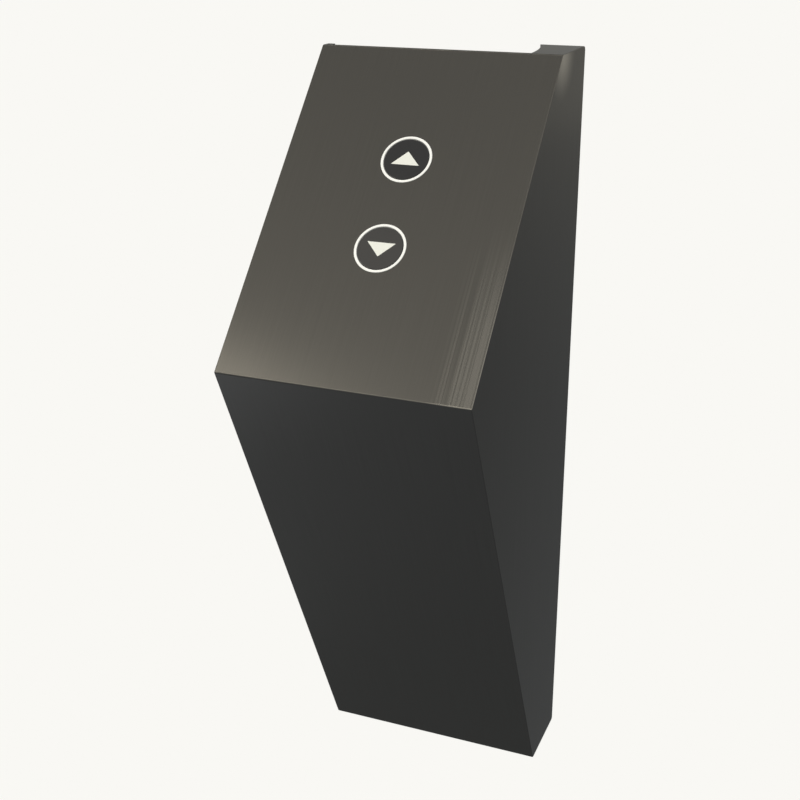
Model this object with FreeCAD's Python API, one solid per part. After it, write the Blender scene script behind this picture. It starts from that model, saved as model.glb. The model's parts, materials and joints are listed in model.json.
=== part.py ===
import FreeCAD, Part
import math
import os
from FreeCAD import Placement, Rotation, Vector

# A wall-mounted lift call station: a wedge-shaped hood of folded stainless sheet that hangs on a
# wall plate, with an up and a down push-button in its sloping upper face and a controller board
# behind them. Millimetres. X is to the viewer's right, Y goes into the wall, Z is up, and the
# origin is the centre of the face that lies on the wall.

# Hood outline, seen from the side
WIDTH = 150.0
HEIGHT = 480.0
NOSE_DEPTH = 200.0
NOSE_HEIGHT = 320.0
TOP_DEPTH = 50.0
BOTTOM_DEPTH = 50.0
HOOD_SHEET = 1.5
CHEEK_BEVEL = 0.6
TOP_BEND_RADIUS = 1.5
NOSE_BEND_RADIUS = 1.2
BOTTOM_BEND_RADIUS = 3.0
REAR_CORNER_RADIUS = 2.5
INNER_BEND_RADIUS = 0.4

# Cable cut-out in the hood's top return
CUTOUT_DEPTH = 12.0
CUTOUT_LEFT_TAB = 5.0
CUTOUT_TAB_LENGTH = 7.0
CUTOUT_FRONT_X = 55.4
CUTOUT_MIDDLE_X = 53.3
CUTOUT_MIDDLE_SHARE = 0.49
CUTOUT_REAR_X = 46.5

# Wall plate, its gasket, rails and shelf
GASKET = 2.0
GASKET_CLEARANCE = 0.6
PLATE_SHEET = 2.0
PLATE_GAP = 0.5
PLATE_TOP_DROP = 18.0
RAIL_SHEET = 2.0
RAIL_DEPTH = 12.0
FIXING_SPACING_X = 90.0
FIXING_SPACING_Z = 340.0
FIXING_SLOT_WIDTH = 6.5
FIXING_SLOT_LENGTH = 12.0
SHELF_WIDTH = 110.0
SHELF_DEPTH = 34.0
SHELF_SHEET = 2.0

# Hood fixings
PIN_DIAMETER = 4.0
PIN_HEAD_DIAMETER = 8.0
PIN_HEAD = 1.5
PIN_SEAT_GAP = 0.3
PIN_BEHIND_RAIL_EDGE = 6.0
PIN_BELOW_PLATE_TOP = 32.0
PIN_DROP = 8.0
HOOD_SCREW_SPACING = 80.0
HOOD_SCREW_FROM_SHELF_EDGE = 11.0
HOOD_SCREW_DIAMETER = 4.0
HOOD_SCREW_LENGTH = 11.0
HOOD_SCREW_HEAD = 7.6
HOOD_SCREW_HEAD_HEIGHT = 2.2
HOOD_SCREW_KEY = 2.5
HOOD_SCREW_KEY_DEPTH = 1.4
HOOD_NUT_SIZE = 7.0
HOOD_NUT_HEIGHT = 3.2
SCREW_CLEARANCE = 0.5
THREAD_GAP = 0.05

# Cable grommet and earth terminal
GROMMET_BORE = 16.0
GROMMET_GROOVE_DIAMETER = 20.0
GROMMET_FLANGE_SIDE = 26.0
GROMMET_LIP = 2.0
GROMMET_ABOVE_BOTTOM = 90.0
SOFT_GAP = 0.1
EARTH_FROM_SIDE = 23.0
EARTH_ABOVE_BOTTOM = 45.0
EARTH_STUD = 5.0
EARTH_STUD_LENGTH = 13.0
EARTH_NUT_KEY = 8.0
EARTH_NUT_HEIGHT = 4.0

# Push-buttons: sizes across and along the axis of one button
BUTTON_SETTINGS = (("up", 75.5, 1.0), ("down", 133.0, -1.0))
PANEL_HOLE = 30.5
RING_DIAMETER = 30.3
RING_BORE = 27.0
RING_PROUD = 0.2
LIGHT_GUIDE_SIDE = 34.0
LIGHT_GUIDE_LENGTH = 9.3
SEAL_THICKNESS = 0.5
SEAL_WIDTH = 1.5
CAP_GAP = 0.2
CAP_PROUD = 0.1
CAP_THICKNESS = 4.5
ARROW_WIDTH = 17.0
ARROW_HEIGHT = 8.8
ARROW_SHIFT = 0.8
ARROW_DEPTH = 0.8
ARROW_GAP = 0.05
TRAVEL = 1.8
HOUSING_FLANGE_WIDTH = 42.0
HOUSING_FLANGE_LENGTH = 54.0
HOUSING_FLANGE_THICKNESS = 3.5
HOUSING_CORNER = 3.0
HOUSING_SIDE = 38.0
HOUSING_GAP = 0.15
HOUSING_FLOOR_DEPTH = 14.0
HOUSING_FLOOR = 2.0
STEM_SIDE = 6.0
STEM_GAP = 0.05
POST_SIDE = 9.2
POST_RISE = 4.2
POST_FALL = 2.0
CLIP_THICKNESS = 0.8
CLIP_WIDTH = 12.0
CLIP_LENGTH = 10.0
CLIP_GROOVE = 4.6
CLIP_GAP = 0.1
STEM_TAIL = 1.6
SPRING_MEAN_DIAMETER = 14.4
SPRING_WIRE = 0.8
SPRING_TURNS = 3.0
SPRING_STEPS = 12
SPRING_END_GAP = 0.05
LED_BOARD_THICKNESS = 1.6
LED_BOARD_WINDOW = 16.4
LED_SIZE = 1.4
LED_HEIGHT = 0.8
LED_COUNT = 8
REAR_COVER_LENGTH = 18.0
REAR_COVER_WALL = 1.6
REAR_COVER_FLOOR = 2.0
SWITCH_SIZE = 12.0
SWITCH_HEIGHT = 4.0
SWITCH_PLUNGER = 3.8
SWITCH_RISE = 2.6
SWITCH_BORE_GAP = 0.1
SWITCH_BOARD_THICKNESS = 1.6
SWITCH_BOARD_GAP = 0.3

# Studs and nuts that hold each button behind the upper face
STUD_DIAMETER = 3.0
STUD_LENGTH = 8.0
STUD_OFFSET = 23.0
STUD_HOLE_GAP = 0.2
STUD_NUT_KEY = 5.5
STUD_NUT_HEIGHT = 2.4

# Four-way plug and socket, used at both ends of each button lead
SOCKET_WIDTH = 12.0
SOCKET_DEPTH = 8.0
SOCKET_HEIGHT = 8.0
SOCKET_WALL = 1.0
SOCKET_FLOOR = 1.5
PLUG_GAP = 0.1
PLUG_SHOULDER = 3.0
WINDOW_GAP = 0.3

# Controller board
BOARD_WIDTH = 100.0
BOARD_HEIGHT = 120.0
BOARD_THICKNESS = 1.6
BOARD_CENTRE_ABOVE_BOTTOM = 200.0
BOARD_HOLE_INSET = 6.0
BOARD_HOLE = 4.0
SUPPORT_HEIGHT = 8.0
SUPPORT_FOOT = 7.0
SUPPORT_NECK = 2.7
SUPPORT_BARB = 4.8
SUPPORT_NOSE = 4.0
BOARD_SOCKET_SPACING = 44.0
TERMINAL_WAYS = 8
TERMINAL_PITCH = 5.0
TERMINAL_HEIGHT = 12.0
TERMINAL_FROM_EDGE = 3.0
TERMINAL_DEPTH = 10.0
TERMINAL_ENTRY = 3.2
TERMINAL_ENTRY_DEPTH = 6.0
TERMINAL_ENTRY_SETBACK = 4.0
TERMINAL_SCREW_RECESS = 1.5
TERMINAL_SCREW_RISE = 7.5
CHIP_SIZES = ((14.0, 14.0, -16.0, 4.0), (9.0, 7.0, 14.0, 16.0))
CHIP_THICKNESS = 1.6
RELAY_WIDTH = 20.0
RELAY_LENGTH = 16.0
RELAY_HEIGHT = 15.0
RELAY_X = 28.0
RELAY_Z = -14.0
CAPACITOR_WIDTH = 13.0
CAPACITOR_THICKNESS = 6.0
CAPACITOR_HEIGHT = 11.0
CAPACITOR_X = -32.0
CAPACITOR_Z = -20.0
CAPACITOR_PITCH = 11.0

# Button leads
LEAD_DIAMETER = 4.0
LEAD_EXIT_RUN = 34.0
LEAD_END_RUN = 30.0
LEAD_BOW = 7.0
ARC_SHARE = 0.45

# Places worked out from the sizes above
TOP_Z = HEIGHT / 2
BOTTOM_Z = -HEIGHT / 2
NOSE_Z = BOTTOM_Z + NOSE_HEIGHT
INNER_X = WIDTH / 2 - HOOD_SHEET
FACE_RUN = NOSE_DEPTH - TOP_DEPTH
FACE_DROP = TOP_Z - NOSE_Z
FACE_ANGLE = math.atan2(FACE_DROP, FACE_RUN)
PLATE_X = INNER_X - PLATE_GAP
PLATE_TOP = TOP_Z - PLATE_TOP_DROP
PLATE_BOTTOM = BOTTOM_Z + HOOD_SHEET
PLATE_BACK = -GASKET
PLATE_FRONT = -(GASKET + PLATE_SHEET)
RAIL_FRONT = PLATE_FRONT - RAIL_DEPTH
RAIL_INNER_X = PLATE_X - RAIL_SHEET
FIXING_CENTRE_Z = (PLATE_TOP + PLATE_BOTTOM) / 2
PIN_Y = RAIL_FRONT + PIN_BEHIND_RAIL_EDGE
PIN_Z = PLATE_TOP - PIN_BELOW_PLATE_TOP
SHELF_FRONT = PLATE_FRONT - SHELF_DEPTH
SHELF_TOP = PLATE_BOTTOM + SHELF_SHEET
HOOD_SCREW_Y = SHELF_FRONT + HOOD_SCREW_FROM_SHELF_EDGE
GROMMET_Z = BOTTOM_Z + GROMMET_ABOVE_BOTTOM
EARTH_X = EARTH_FROM_SIDE - PLATE_X
EARTH_Z = BOTTOM_Z + EARTH_ABOVE_BOTTOM
BOARD_Z = BOTTOM_Z + BOARD_CENTRE_ABOVE_BOTTOM
BOARD_BACK = PLATE_FRONT - SUPPORT_HEIGHT
BOARD_FRONT = BOARD_BACK - BOARD_THICKNESS
PANEL_BACK = -HOOD_SHEET
LIGHT_GUIDE_TOP = PANEL_BACK - SEAL_THICKNESS
LIGHT_GUIDE_END = LIGHT_GUIDE_TOP - LIGHT_GUIDE_LENGTH
WELL_SIDE = LIGHT_GUIDE_SIDE + 2 * HOUSING_GAP
HOUSING_FLANGE_BACK = PANEL_BACK - HOUSING_FLANGE_THICKNESS
FLOOR_TOP = -HOUSING_FLOOR_DEPTH
FLOOR_BOTTOM = FLOOR_TOP - HOUSING_FLOOR
CAP_DIAMETER = RING_BORE - 2 * CAP_GAP
CAP_UNDERSIDE = CAP_PROUD - CAP_THICKNESS
POST_END = FLOOR_BOTTOM - POST_FALL
CLIP_TOP = POST_END - CLIP_GAP
CLIP_BOTTOM = CLIP_TOP - CLIP_THICKNESS
STEM_END = CLIP_BOTTOM - CLIP_GAP - STEM_TAIL
LED_BOARD_TOP = FLOOR_TOP + LED_BOARD_THICKNESS
SWITCH_TOP = STEM_END - SWITCH_RISE
SWITCH_BOARD_TOP = SWITCH_TOP - SWITCH_HEIGHT
SWITCH_BOARD_BOTTOM = SWITCH_BOARD_TOP - SWITCH_BOARD_THICKNESS
REAR_COVER_END = FLOOR_BOTTOM - REAR_COVER_LENGTH
SOCKET_END = SWITCH_BOARD_BOTTOM - SOCKET_HEIGHT
MARGIN = 1.0


def save(name, shape):
    """Write one named piece, or a group of like fasteners, to its own STEP file."""
    shape.exportStep(f"parts/{name}.step")


def block(x0, x1, y0, y1, z0, z1):
    """A box between two corners."""
    return Part.makeBox(x1 - x0, y1 - y0, z1 - z0, Vector(x0, y0, z0))


def disc(diameter, z0, z1, x=0.0, y=0.0):
    """A cylinder that stands on z0 and ends at z1."""
    return Part.makeCylinder(diameter / 2, z1 - z0, Vector(x, y, z0), Vector(0, 0, 1))


def rod(diameter, start, axis, length):
    """A cylinder from a point along any axis."""
    return Part.makeCylinder(diameter / 2, length, start, axis)


def hexagon_wire(key, centre, axis):
    """A closed hexagon, measured across its flats, square to an axis."""
    turn = Rotation(Vector(0, 0, 1), axis)
    radius = key / math.sqrt(3)
    corners = []
    for i in range(7):
        angle = math.radians(60 * i)
        corner = Vector(radius * math.cos(angle), radius * math.sin(angle), 0)
        corners.append(centre + turn.multVec(corner))
    return Part.makePolygon(corners)


def hexagon(key, start, axis, length):
    """A hexagonal bar from a point along any axis."""
    return Part.Face(hexagon_wire(key, start, axis)).extrude(axis * length)


def square_bar(side, z0, z1):
    """A square bar about the Z axis."""
    half = side / 2
    return block(-half, half, -half, half, z0, z1)


def rounded_outline(points, radii):
    """A closed flat face through the points, with each corner rounded to its own radius."""
    edges = []
    first = None
    last = None
    count = len(points)
    for i in range(count):
        corner = points[i]
        to_before = (points[i - 1] - corner).normalize()
        to_after = (points[(i + 1) % count] - corner).normalize()
        half = to_before.getAngle(to_after) / 2
        reach = radii[i] / math.tan(half)
        start = corner + to_before * reach
        end = corner + to_after * reach
        if last is not None:
            edges.append(Part.makeLine(last, start))
        else:
            first = start
        if radii[i] > 0:
            middle_way = (to_before + to_after).normalize()
            middle = corner + middle_way * (radii[i] / math.sin(half) - radii[i])
            edges.append(Part.Arc(start, middle, end).toShape())
        last = end
    edges.append(Part.makeLine(last, first))
    return Part.Face(Part.Wire(edges))


def inset(points, distances, normal):
    """The corners of a flat outline after side i, which starts at point i, has moved inwards."""
    count = len(points)
    sides = []
    for i in range(count):
        along = (points[(i + 1) % count] - points[i]).normalize()
        inwards = normal.cross(along)
        sides.append((points[i] + inwards * distances[i], along, inwards))
    corners = []
    for i in range(count):
        before, along_before, _ = sides[i - 1]
        here, _, inwards = sides[i]
        run = (here - before).dot(inwards) / along_before.dot(inwards)
        corners.append(before + along_before * run)
    return corners


def face_placement(down_face):
    """The frame of a button: its centre in the upper face, with +Z outwards and +Y up the face."""
    centre = Vector(0, -TOP_DEPTH - math.cos(FACE_ANGLE) * down_face,
                    TOP_Z - math.sin(FACE_ANGLE) * down_face)
    return Placement(centre, Rotation(Vector(1, 0, 0), math.degrees(FACE_ANGLE)))


def place_on_face(shape, down_face):
    """Carry a shape from a button's own frame to its place in the upper face."""
    placed = shape.copy()
    placed.Placement = face_placement(down_face).multiply(placed.Placement)
    return placed


def hood_corners(x):
    """The hood's five side-view corners, clockwise seen from +X, at one X."""
    return [
        Vector(x, 0, TOP_Z),
        Vector(x, -TOP_DEPTH, TOP_Z),
        Vector(x, -NOSE_DEPTH, NOSE_Z),
        Vector(x, -BOTTOM_DEPTH, BOTTOM_Z),
        Vector(x, 0, BOTTOM_Z),
    ]


def cable_cutout():
    """The space cut from the top return and the left cheek, curved along its right-hand side."""
    front = -TOP_DEPTH + HOOD_SHEET / math.sin(FACE_ANGLE)
    left_tab_x = -WIDTH / 2 + CUTOUT_LEFT_TAB
    tab_y = -TOP_DEPTH + CUTOUT_TAB_LENGTH
    low = TOP_Z - CUTOUT_DEPTH
    front_right = Vector(CUTOUT_FRONT_X, front, low)
    middle_right = Vector(CUTOUT_MIDDLE_X, -TOP_DEPTH * CUTOUT_MIDDLE_SHARE, low)
    rear_right = Vector(CUTOUT_REAR_X, MARGIN, low)
    left_rear = Vector(-WIDTH / 2 - MARGIN, MARGIN, low)
    left_front = Vector(-WIDTH / 2 - MARGIN, tab_y, low)
    tab_rear = Vector(left_tab_x, tab_y, low)
    tab_front = Vector(left_tab_x, front, low)
    edges = [
        Part.Arc(front_right, middle_right, rear_right).toShape(),
        Part.makeLine(rear_right, left_rear),
        Part.makeLine(left_rear, left_front),
        Part.makeLine(left_front, tab_rear),
        Part.makeLine(tab_rear, tab_front),
        Part.makeLine(tab_front, front_right),
    ]
    return Part.Face(Part.Wire(edges)).extrude(Vector(0, 0, CUTOUT_DEPTH + MARGIN))


def front_hood():
    """One folded sheet with welded and ground cheek seams, open at the back."""
    left = hood_corners(-WIDTH / 2)
    radii = [REAR_CORNER_RADIUS, TOP_BEND_RADIUS, NOSE_BEND_RADIUS, BOTTOM_BEND_RADIUS,
             REAR_CORNER_RADIUS]
    outer = rounded_outline(left, radii).extrude(Vector(WIDTH, 0, 0))
    seams = []
    for edge in outer.Edges:
        box = edge.BoundBox
        if box.XLength < 0.001 and abs(abs(box.XMin) - WIDTH / 2) < 0.001:
            seams.append(edge)
    outer = outer.makeChamfer(CHEEK_BEVEL, seams)

    walls = [HOOD_SHEET, HOOD_SHEET, HOOD_SHEET, HOOD_SHEET, -MARGIN]
    inner_corners = inset(hood_corners(-INNER_X), walls, Vector(1, 0, 0))
    inner_radii = [0, INNER_BEND_RADIUS, INNER_BEND_RADIUS, BOTTOM_BEND_RADIUS - HOOD_SHEET, 0]
    inner = rounded_outline(inner_corners, inner_radii).extrude(Vector(2 * INNER_X, 0, 0))

    cuts = [inner, cable_cutout()]
    for name, down_face, sense in BUTTON_SETTINGS:
        cuts.append(place_on_face(disc(PANEL_HOLE, PANEL_BACK - MARGIN, MARGIN), down_face))
    for x in (-HOOD_SCREW_SPACING / 2, HOOD_SCREW_SPACING / 2):
        hole = disc(HOOD_SCREW_DIAMETER + SCREW_CLEARANCE, BOTTOM_Z - MARGIN,
                    BOTTOM_Z + HOOD_SHEET + MARGIN, x, HOOD_SCREW_Y)
        cuts.append(hole)
    return outer.cut(cuts)


def slot_hole(width, length, x, z, y0, y1):
    """A round-ended slot through a sheet on the wall, its long way along X."""
    half_run = (length - width) / 2
    body = block(x - half_run, x + half_run, y0, y1, z - width / 2, z + width / 2)
    ends = []
    for side in (-1, 1):
        ends.append(rod(width, Vector(x + side * half_run, y0, z), Vector(0, 1, 0), y1 - y0))
    return body.fuse(ends)


def fixing_slots(y0, y1):
    """The four wall fixing slots."""
    slots = []
    for x in (-FIXING_SPACING_X / 2, FIXING_SPACING_X / 2):
        for z in (-FIXING_SPACING_Z / 2, FIXING_SPACING_Z / 2):
            slots.append(slot_hole(FIXING_SLOT_WIDTH, FIXING_SLOT_LENGTH, x,
                                   FIXING_CENTRE_Z + z, y0, y1))
    return slots


def wall_gasket():
    """A foam sheet behind the plate, with square-cut windows for the screws and the grommet."""
    sheet = block(-PLATE_X, PLATE_X, -GASKET, 0, PLATE_BOTTOM, PLATE_TOP)
    cuts = []
    half_x = FIXING_SLOT_LENGTH / 2 + GASKET_CLEARANCE
    half_z = FIXING_SLOT_WIDTH / 2 + GASKET_CLEARANCE
    for x in (-FIXING_SPACING_X / 2, FIXING_SPACING_X / 2):
        for offset in (-FIXING_SPACING_Z / 2, FIXING_SPACING_Z / 2):
            z = FIXING_CENTRE_Z + offset
            cuts.append(block(x - half_x, x + half_x, -GASKET - MARGIN, MARGIN,
                              z - half_z, z + half_z))
    half = GROMMET_FLANGE_SIDE / 2 + GASKET_CLEARANCE
    cuts.append(block(-half, half, -GASKET - MARGIN, MARGIN, GROMMET_Z - half, GROMMET_Z + half))
    return sheet.cut(cuts)


def hanging_slot(side):
    """The L-shaped way in one side rail that a hanger pin enters from the front and drops down."""
    width = PIN_DIAMETER + 2 * PIN_SEAT_GAP
    x0 = side * (PLATE_X + MARGIN)
    x1 = side * (RAIL_INNER_X - MARGIN)
    low_x = min(x0, x1)
    high_x = max(x0, x1)
    entry_z = PIN_Z + PIN_DROP
    entry = block(low_x, high_x, RAIL_FRONT - MARGIN, PIN_Y, entry_z - width / 2, entry_z + width / 2)
    drop = block(low_x, high_x, PIN_Y - width / 2, PIN_Y + width / 2, PIN_Z, entry_z)
    ends = []
    for z in (PIN_Z, entry_z):
        ends.append(rod(width, Vector(low_x, PIN_Y, z), Vector(1, 0, 0), high_x - low_x))
    return entry.fuse([drop] + ends)


def wall_plate():
    """The flat back sheet, with its fixing slots and the round window for the cable grommet."""
    sheet = block(-PLATE_X, PLATE_X, PLATE_FRONT, PLATE_BACK, PLATE_BOTTOM, PLATE_TOP)
    cuts = fixing_slots(PLATE_FRONT - MARGIN, PLATE_BACK + MARGIN)
    cuts.append(rod(GROMMET_GROOVE_DIAMETER + 2 * SOFT_GAP, Vector(0, PLATE_FRONT - MARGIN, GROMMET_Z),
                    Vector(0, 1, 0), PLATE_SHEET + 2 * MARGIN))
    return sheet.cut(cuts)


def side_rails():
    """Two flat bars welded on edge along the plate's sides; the hood's pins hang in their slots."""
    rails = []
    for side in (-1, 1):
        low_x = min(side * PLATE_X, side * RAIL_INNER_X)
        rail = block(low_x, low_x + RAIL_SHEET, RAIL_FRONT, PLATE_FRONT, PLATE_BOTTOM, PLATE_TOP)
        rails.append(rail.cut(hanging_slot(side)))
    return Part.makeCompound(rails)


def top_rail():
    """A flat bar welded on edge along the plate's top, between the side rails."""
    return block(-RAIL_INNER_X, RAIL_INNER_X, RAIL_FRONT, PLATE_FRONT, PLATE_TOP - RAIL_SHEET, PLATE_TOP)


def screw_shelf():
    """The shelf welded across the plate's foot, which the hood's bottom return is screwed to."""
    half = SHELF_WIDTH / 2
    shelf = block(-half, half, SHELF_FRONT, PLATE_FRONT, PLATE_BOTTOM, SHELF_TOP)
    holes = []
    for x in (-HOOD_SCREW_SPACING / 2, HOOD_SCREW_SPACING / 2):
        holes.append(disc(HOOD_SCREW_DIAMETER + SCREW_CLEARANCE, PLATE_BOTTOM - MARGIN,
                          SHELF_TOP + MARGIN, x, HOOD_SCREW_Y))
    return shelf.cut(holes)


def hanger_pins():
    """Two headed pins welded inside the cheeks; they hang the hood on the side rails."""
    pins = []
    for side in (-1, 1):
        inwards = Vector(-side, 0, 0)
        shank_length = PLATE_GAP + RAIL_SHEET + PIN_SEAT_GAP
        start = Vector(side * INNER_X, PIN_Y, PIN_Z)
        shank = rod(PIN_DIAMETER, start, inwards, shank_length)
        head = rod(PIN_HEAD_DIAMETER, start + inwards * shank_length, inwards, PIN_HEAD)
        pins.append(shank.fuse(head).removeSplitter())
    return Part.makeCompound(pins)


def hood_screws():
    """Two socket-head screws, driven up through the bottom return."""
    screws = []
    for x in (-HOOD_SCREW_SPACING / 2, HOOD_SCREW_SPACING / 2):
        shank = disc(HOOD_SCREW_DIAMETER, BOTTOM_Z, BOTTOM_Z + HOOD_SCREW_LENGTH, x, HOOD_SCREW_Y)
        low = BOTTOM_Z - HOOD_SCREW_HEAD_HEIGHT
        head = disc(HOOD_SCREW_HEAD, low, BOTTOM_Z, x, HOOD_SCREW_Y)
        socket_start = Vector(x, HOOD_SCREW_Y, low - MARGIN)
        socket = hexagon(HOOD_SCREW_KEY, socket_start, Vector(0, 0, 1),
                         HOOD_SCREW_KEY_DEPTH + MARGIN)
        screws.append(shank.fuse(head).removeSplitter().cut(socket))
    return Part.makeCompound(screws)


def hood_nuts():
    """Two square weld nuts on top of the shelf."""
    nuts = []
    low = SHELF_TOP
    for x in (-HOOD_SCREW_SPACING / 2, HOOD_SCREW_SPACING / 2):
        half = HOOD_NUT_SIZE / 2
        nut = block(x - half, x + half, HOOD_SCREW_Y - half, HOOD_SCREW_Y + half,
                    low, low + HOOD_NUT_HEIGHT)
        thread = disc(HOOD_SCREW_DIAMETER + 2 * THREAD_GAP, low - MARGIN,
                      low + HOOD_NUT_HEIGHT + MARGIN, x, HOOD_SCREW_Y)
        nuts.append(nut.cut(thread))
    return Part.makeCompound(nuts)


def grommet_flange(y0, y1):
    """One of the grommet's two square flanges."""
    half = GROMMET_FLANGE_SIDE / 2
    return block(-half, half, y0, y1, GROMMET_Z - half, GROMMET_Z + half)


def cable_grommet():
    """A rubber grommet with square flanges; its round neck fills the window in the plate."""
    front = PLATE_FRONT - GROMMET_LIP
    inwards = Vector(0, 1, 0)
    neck = rod(GROMMET_GROOVE_DIAMETER, Vector(0, PLATE_FRONT, GROMMET_Z), inwards, PLATE_SHEET)
    body = neck.fuse([grommet_flange(front, PLATE_FRONT), grommet_flange(PLATE_BACK, 0)])
    return body.cut(rod(GROMMET_BORE, Vector(0, front - MARGIN, GROMMET_Z), inwards,
                        2 * MARGIN - front))


def earth_stud():
    """The protective earth stud, welded to the plate."""
    return rod(EARTH_STUD, Vector(EARTH_X, PLATE_FRONT, EARTH_Z), Vector(0, -1, 0), EARTH_STUD_LENGTH)


def earth_nut():
    """The nut that clamps the earth wire's eye on its stud."""
    forward = Vector(0, -1, 0)
    start = Vector(EARTH_X, PLATE_FRONT, EARTH_Z)
    hole = rod(EARTH_STUD + 2 * THREAD_GAP, start, forward, EARTH_STUD_LENGTH)
    return hexagon(EARTH_NUT_KEY, start, forward, EARTH_NUT_HEIGHT).cut(hole)


def light_ring():
    """The opal ring that shows in the upper face, on the square light guide behind it."""
    front = disc(RING_DIAMETER, LIGHT_GUIDE_TOP, RING_PROUD)
    guide = square_bar(LIGHT_GUIDE_SIDE, LIGHT_GUIDE_END, LIGHT_GUIDE_TOP)
    bore = disc(RING_BORE, LIGHT_GUIDE_END - MARGIN, RING_PROUD + MARGIN)
    return front.fuse(guide).cut(bore)


def seal():
    """The square silicone frame that seals the light guide to the back of the sheet."""
    body = square_bar(LIGHT_GUIDE_SIDE, LIGHT_GUIDE_TOP, PANEL_BACK)
    return body.cut(square_bar(LIGHT_GUIDE_SIDE - 2 * SEAL_WIDTH, LIGHT_GUIDE_TOP - MARGIN,
                               PANEL_BACK + MARGIN))


def housing():
    """The moulded front body: a flange with two ears, a square well, and a post for the stem."""
    half_x = HOUSING_FLANGE_WIDTH / 2
    half_y = HOUSING_FLANGE_LENGTH / 2
    flange = block(-half_x, half_x, -half_y, half_y, HOUSING_FLANGE_BACK, PANEL_BACK)
    corners = []
    for edge in flange.Edges:
        if edge.BoundBox.ZLength > HOUSING_FLANGE_THICKNESS / 2:
            corners.append(edge)
    flange = flange.makeChamfer(HOUSING_CORNER, corners)
    body = flange.fuse(square_bar(HOUSING_SIDE, FLOOR_BOTTOM, HOUSING_FLANGE_BACK))
    body = body.cut(square_bar(WELL_SIDE, FLOOR_TOP, PANEL_BACK + MARGIN))
    body = body.fuse(square_bar(POST_SIDE, POST_END, FLOOR_TOP + POST_RISE)).removeSplitter()
    cuts = [square_bar(STEM_SIDE + 2 * STEM_GAP, POST_END - MARGIN, FLOOR_TOP + POST_RISE + MARGIN)]
    for y in (-STUD_OFFSET, STUD_OFFSET):
        cuts.append(disc(STUD_DIAMETER + 2 * STUD_HOLE_GAP, HOUSING_FLANGE_BACK - MARGIN,
                         PANEL_BACK + MARGIN, 0, y))
    return body.cut(cuts)


def arrow_prism(sense, gap, z0, z1):
    """A flat arrowhead that points up the face for +1 and down it for -1, grown by a gap."""
    half = sense * ARROW_WIDTH / 2
    tip = sense * (ARROW_SHIFT + ARROW_HEIGHT / 2)
    base = sense * (ARROW_SHIFT - ARROW_HEIGHT / 2)
    corners = [Vector(-half, base, z0), Vector(half, base, z0), Vector(0, tip, z0)]
    corners = inset(corners, [-gap] * 3, Vector(0, 0, 1))
    return Part.Face(Part.makePolygon(corners + corners[:1])).extrude(Vector(0, 0, z1 - z0))


def cap(sense):
    """The black acrylic face of the button, with a pocket for the arrow."""
    body = disc(CAP_DIAMETER, CAP_UNDERSIDE, CAP_PROUD)
    return body.cut(arrow_prism(sense, ARROW_GAP, CAP_PROUD - ARROW_DEPTH, CAP_PROUD + MARGIN))


def arrow(sense):
    """The white inlay, flush with the face of the cap."""
    return arrow_prism(sense, 0.0, CAP_PROUD - ARROW_DEPTH, CAP_PROUD)


def stem():
    """The square plunger under the cap, which can't turn in its post, grooved for its clip."""
    bar = square_bar(STEM_SIDE, STEM_END, CAP_UNDERSIDE)
    low = CLIP_BOTTOM - CLIP_GAP / 2
    high = CLIP_TOP + CLIP_GAP / 2
    groove = square_bar(STEM_SIDE + MARGIN, low, high).cut(square_bar(CLIP_GROOVE, low, high))
    return bar.cut(groove)


def retaining_clip():
    """The forked clip that slides into the stem's groove and stops the cap from coming out."""
    half_x = CLIP_WIDTH / 2
    half_y = CLIP_LENGTH / 2
    half_fork = CLIP_GROOVE / 2 + THREAD_GAP
    plate = block(-half_x, half_x, -half_y, half_y, CLIP_BOTTOM, CLIP_TOP)
    return plate.cut(block(-half_fork, half_fork, -half_fork, half_y + MARGIN,
                           CLIP_BOTTOM - MARGIN, CLIP_TOP + MARGIN))


def return_spring():
    """A steel compression spring round the post, from the floor to the underside of the cap."""
    half = SPRING_WIRE / 2
    low = FLOOR_TOP + SPRING_END_GAP + half
    high = CAP_UNDERSIDE - SPRING_END_GAP - half
    steps = round(SPRING_TURNS * SPRING_STEPS)
    sections = []
    for i in range(steps + 1):
        angle = 2 * math.pi * i / SPRING_STEPS
        outwards = Vector(math.cos(angle), math.sin(angle), 0)
        centre = outwards * (SPRING_MEAN_DIAMETER / 2)
        centre.z = low + (high - low) * i / steps
        corners = []
        for across, along in ((-half, -half), (half, -half), (half, half), (-half, half)):
            corners.append(centre + outwards * across + Vector(0, 0, along))
        sections.append(Part.makePolygon(corners + corners[:1]))
    return Part.makeLoft(sections, True, True)


def led_board():
    """The square board on the floor of the housing, with a window for the spring."""
    board = square_bar(LIGHT_GUIDE_SIDE, FLOOR_TOP, LED_BOARD_TOP)
    return board.cut(square_bar(LED_BOARD_WINDOW, FLOOR_TOP - MARGIN, LED_BOARD_TOP + MARGIN))


def leds():
    """The lamps under the light guide."""
    chips = []
    radius = (RING_BORE + RING_DIAMETER) / 4
    for i in range(LED_COUNT):
        half = LED_SIZE / 2
        chip = block(radius - half, radius + half, -half, half, LED_BOARD_TOP,
                     LED_BOARD_TOP + LED_HEIGHT)
        chip.rotate(Vector(0, 0, 0), Vector(0, 0, 1), 360 * i / LED_COUNT)
        chips.append(chip)
    return Part.makeCompound(chips)


def switch_body():
    """The sealed push switch under the stem, bored for its square plunger."""
    body = square_bar(SWITCH_SIZE, SWITCH_BOARD_TOP, SWITCH_TOP)
    return body.cut(square_bar(SWITCH_PLUNGER + 2 * SWITCH_BORE_GAP, SWITCH_TOP - TRAVEL - MARGIN,
                               SWITCH_TOP + MARGIN))


def switch_plunger():
    """The plunger of the switch, which the stem rests on and pushes."""
    return square_bar(SWITCH_PLUNGER, SWITCH_TOP - MARGIN / 2, STEM_END)


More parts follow.
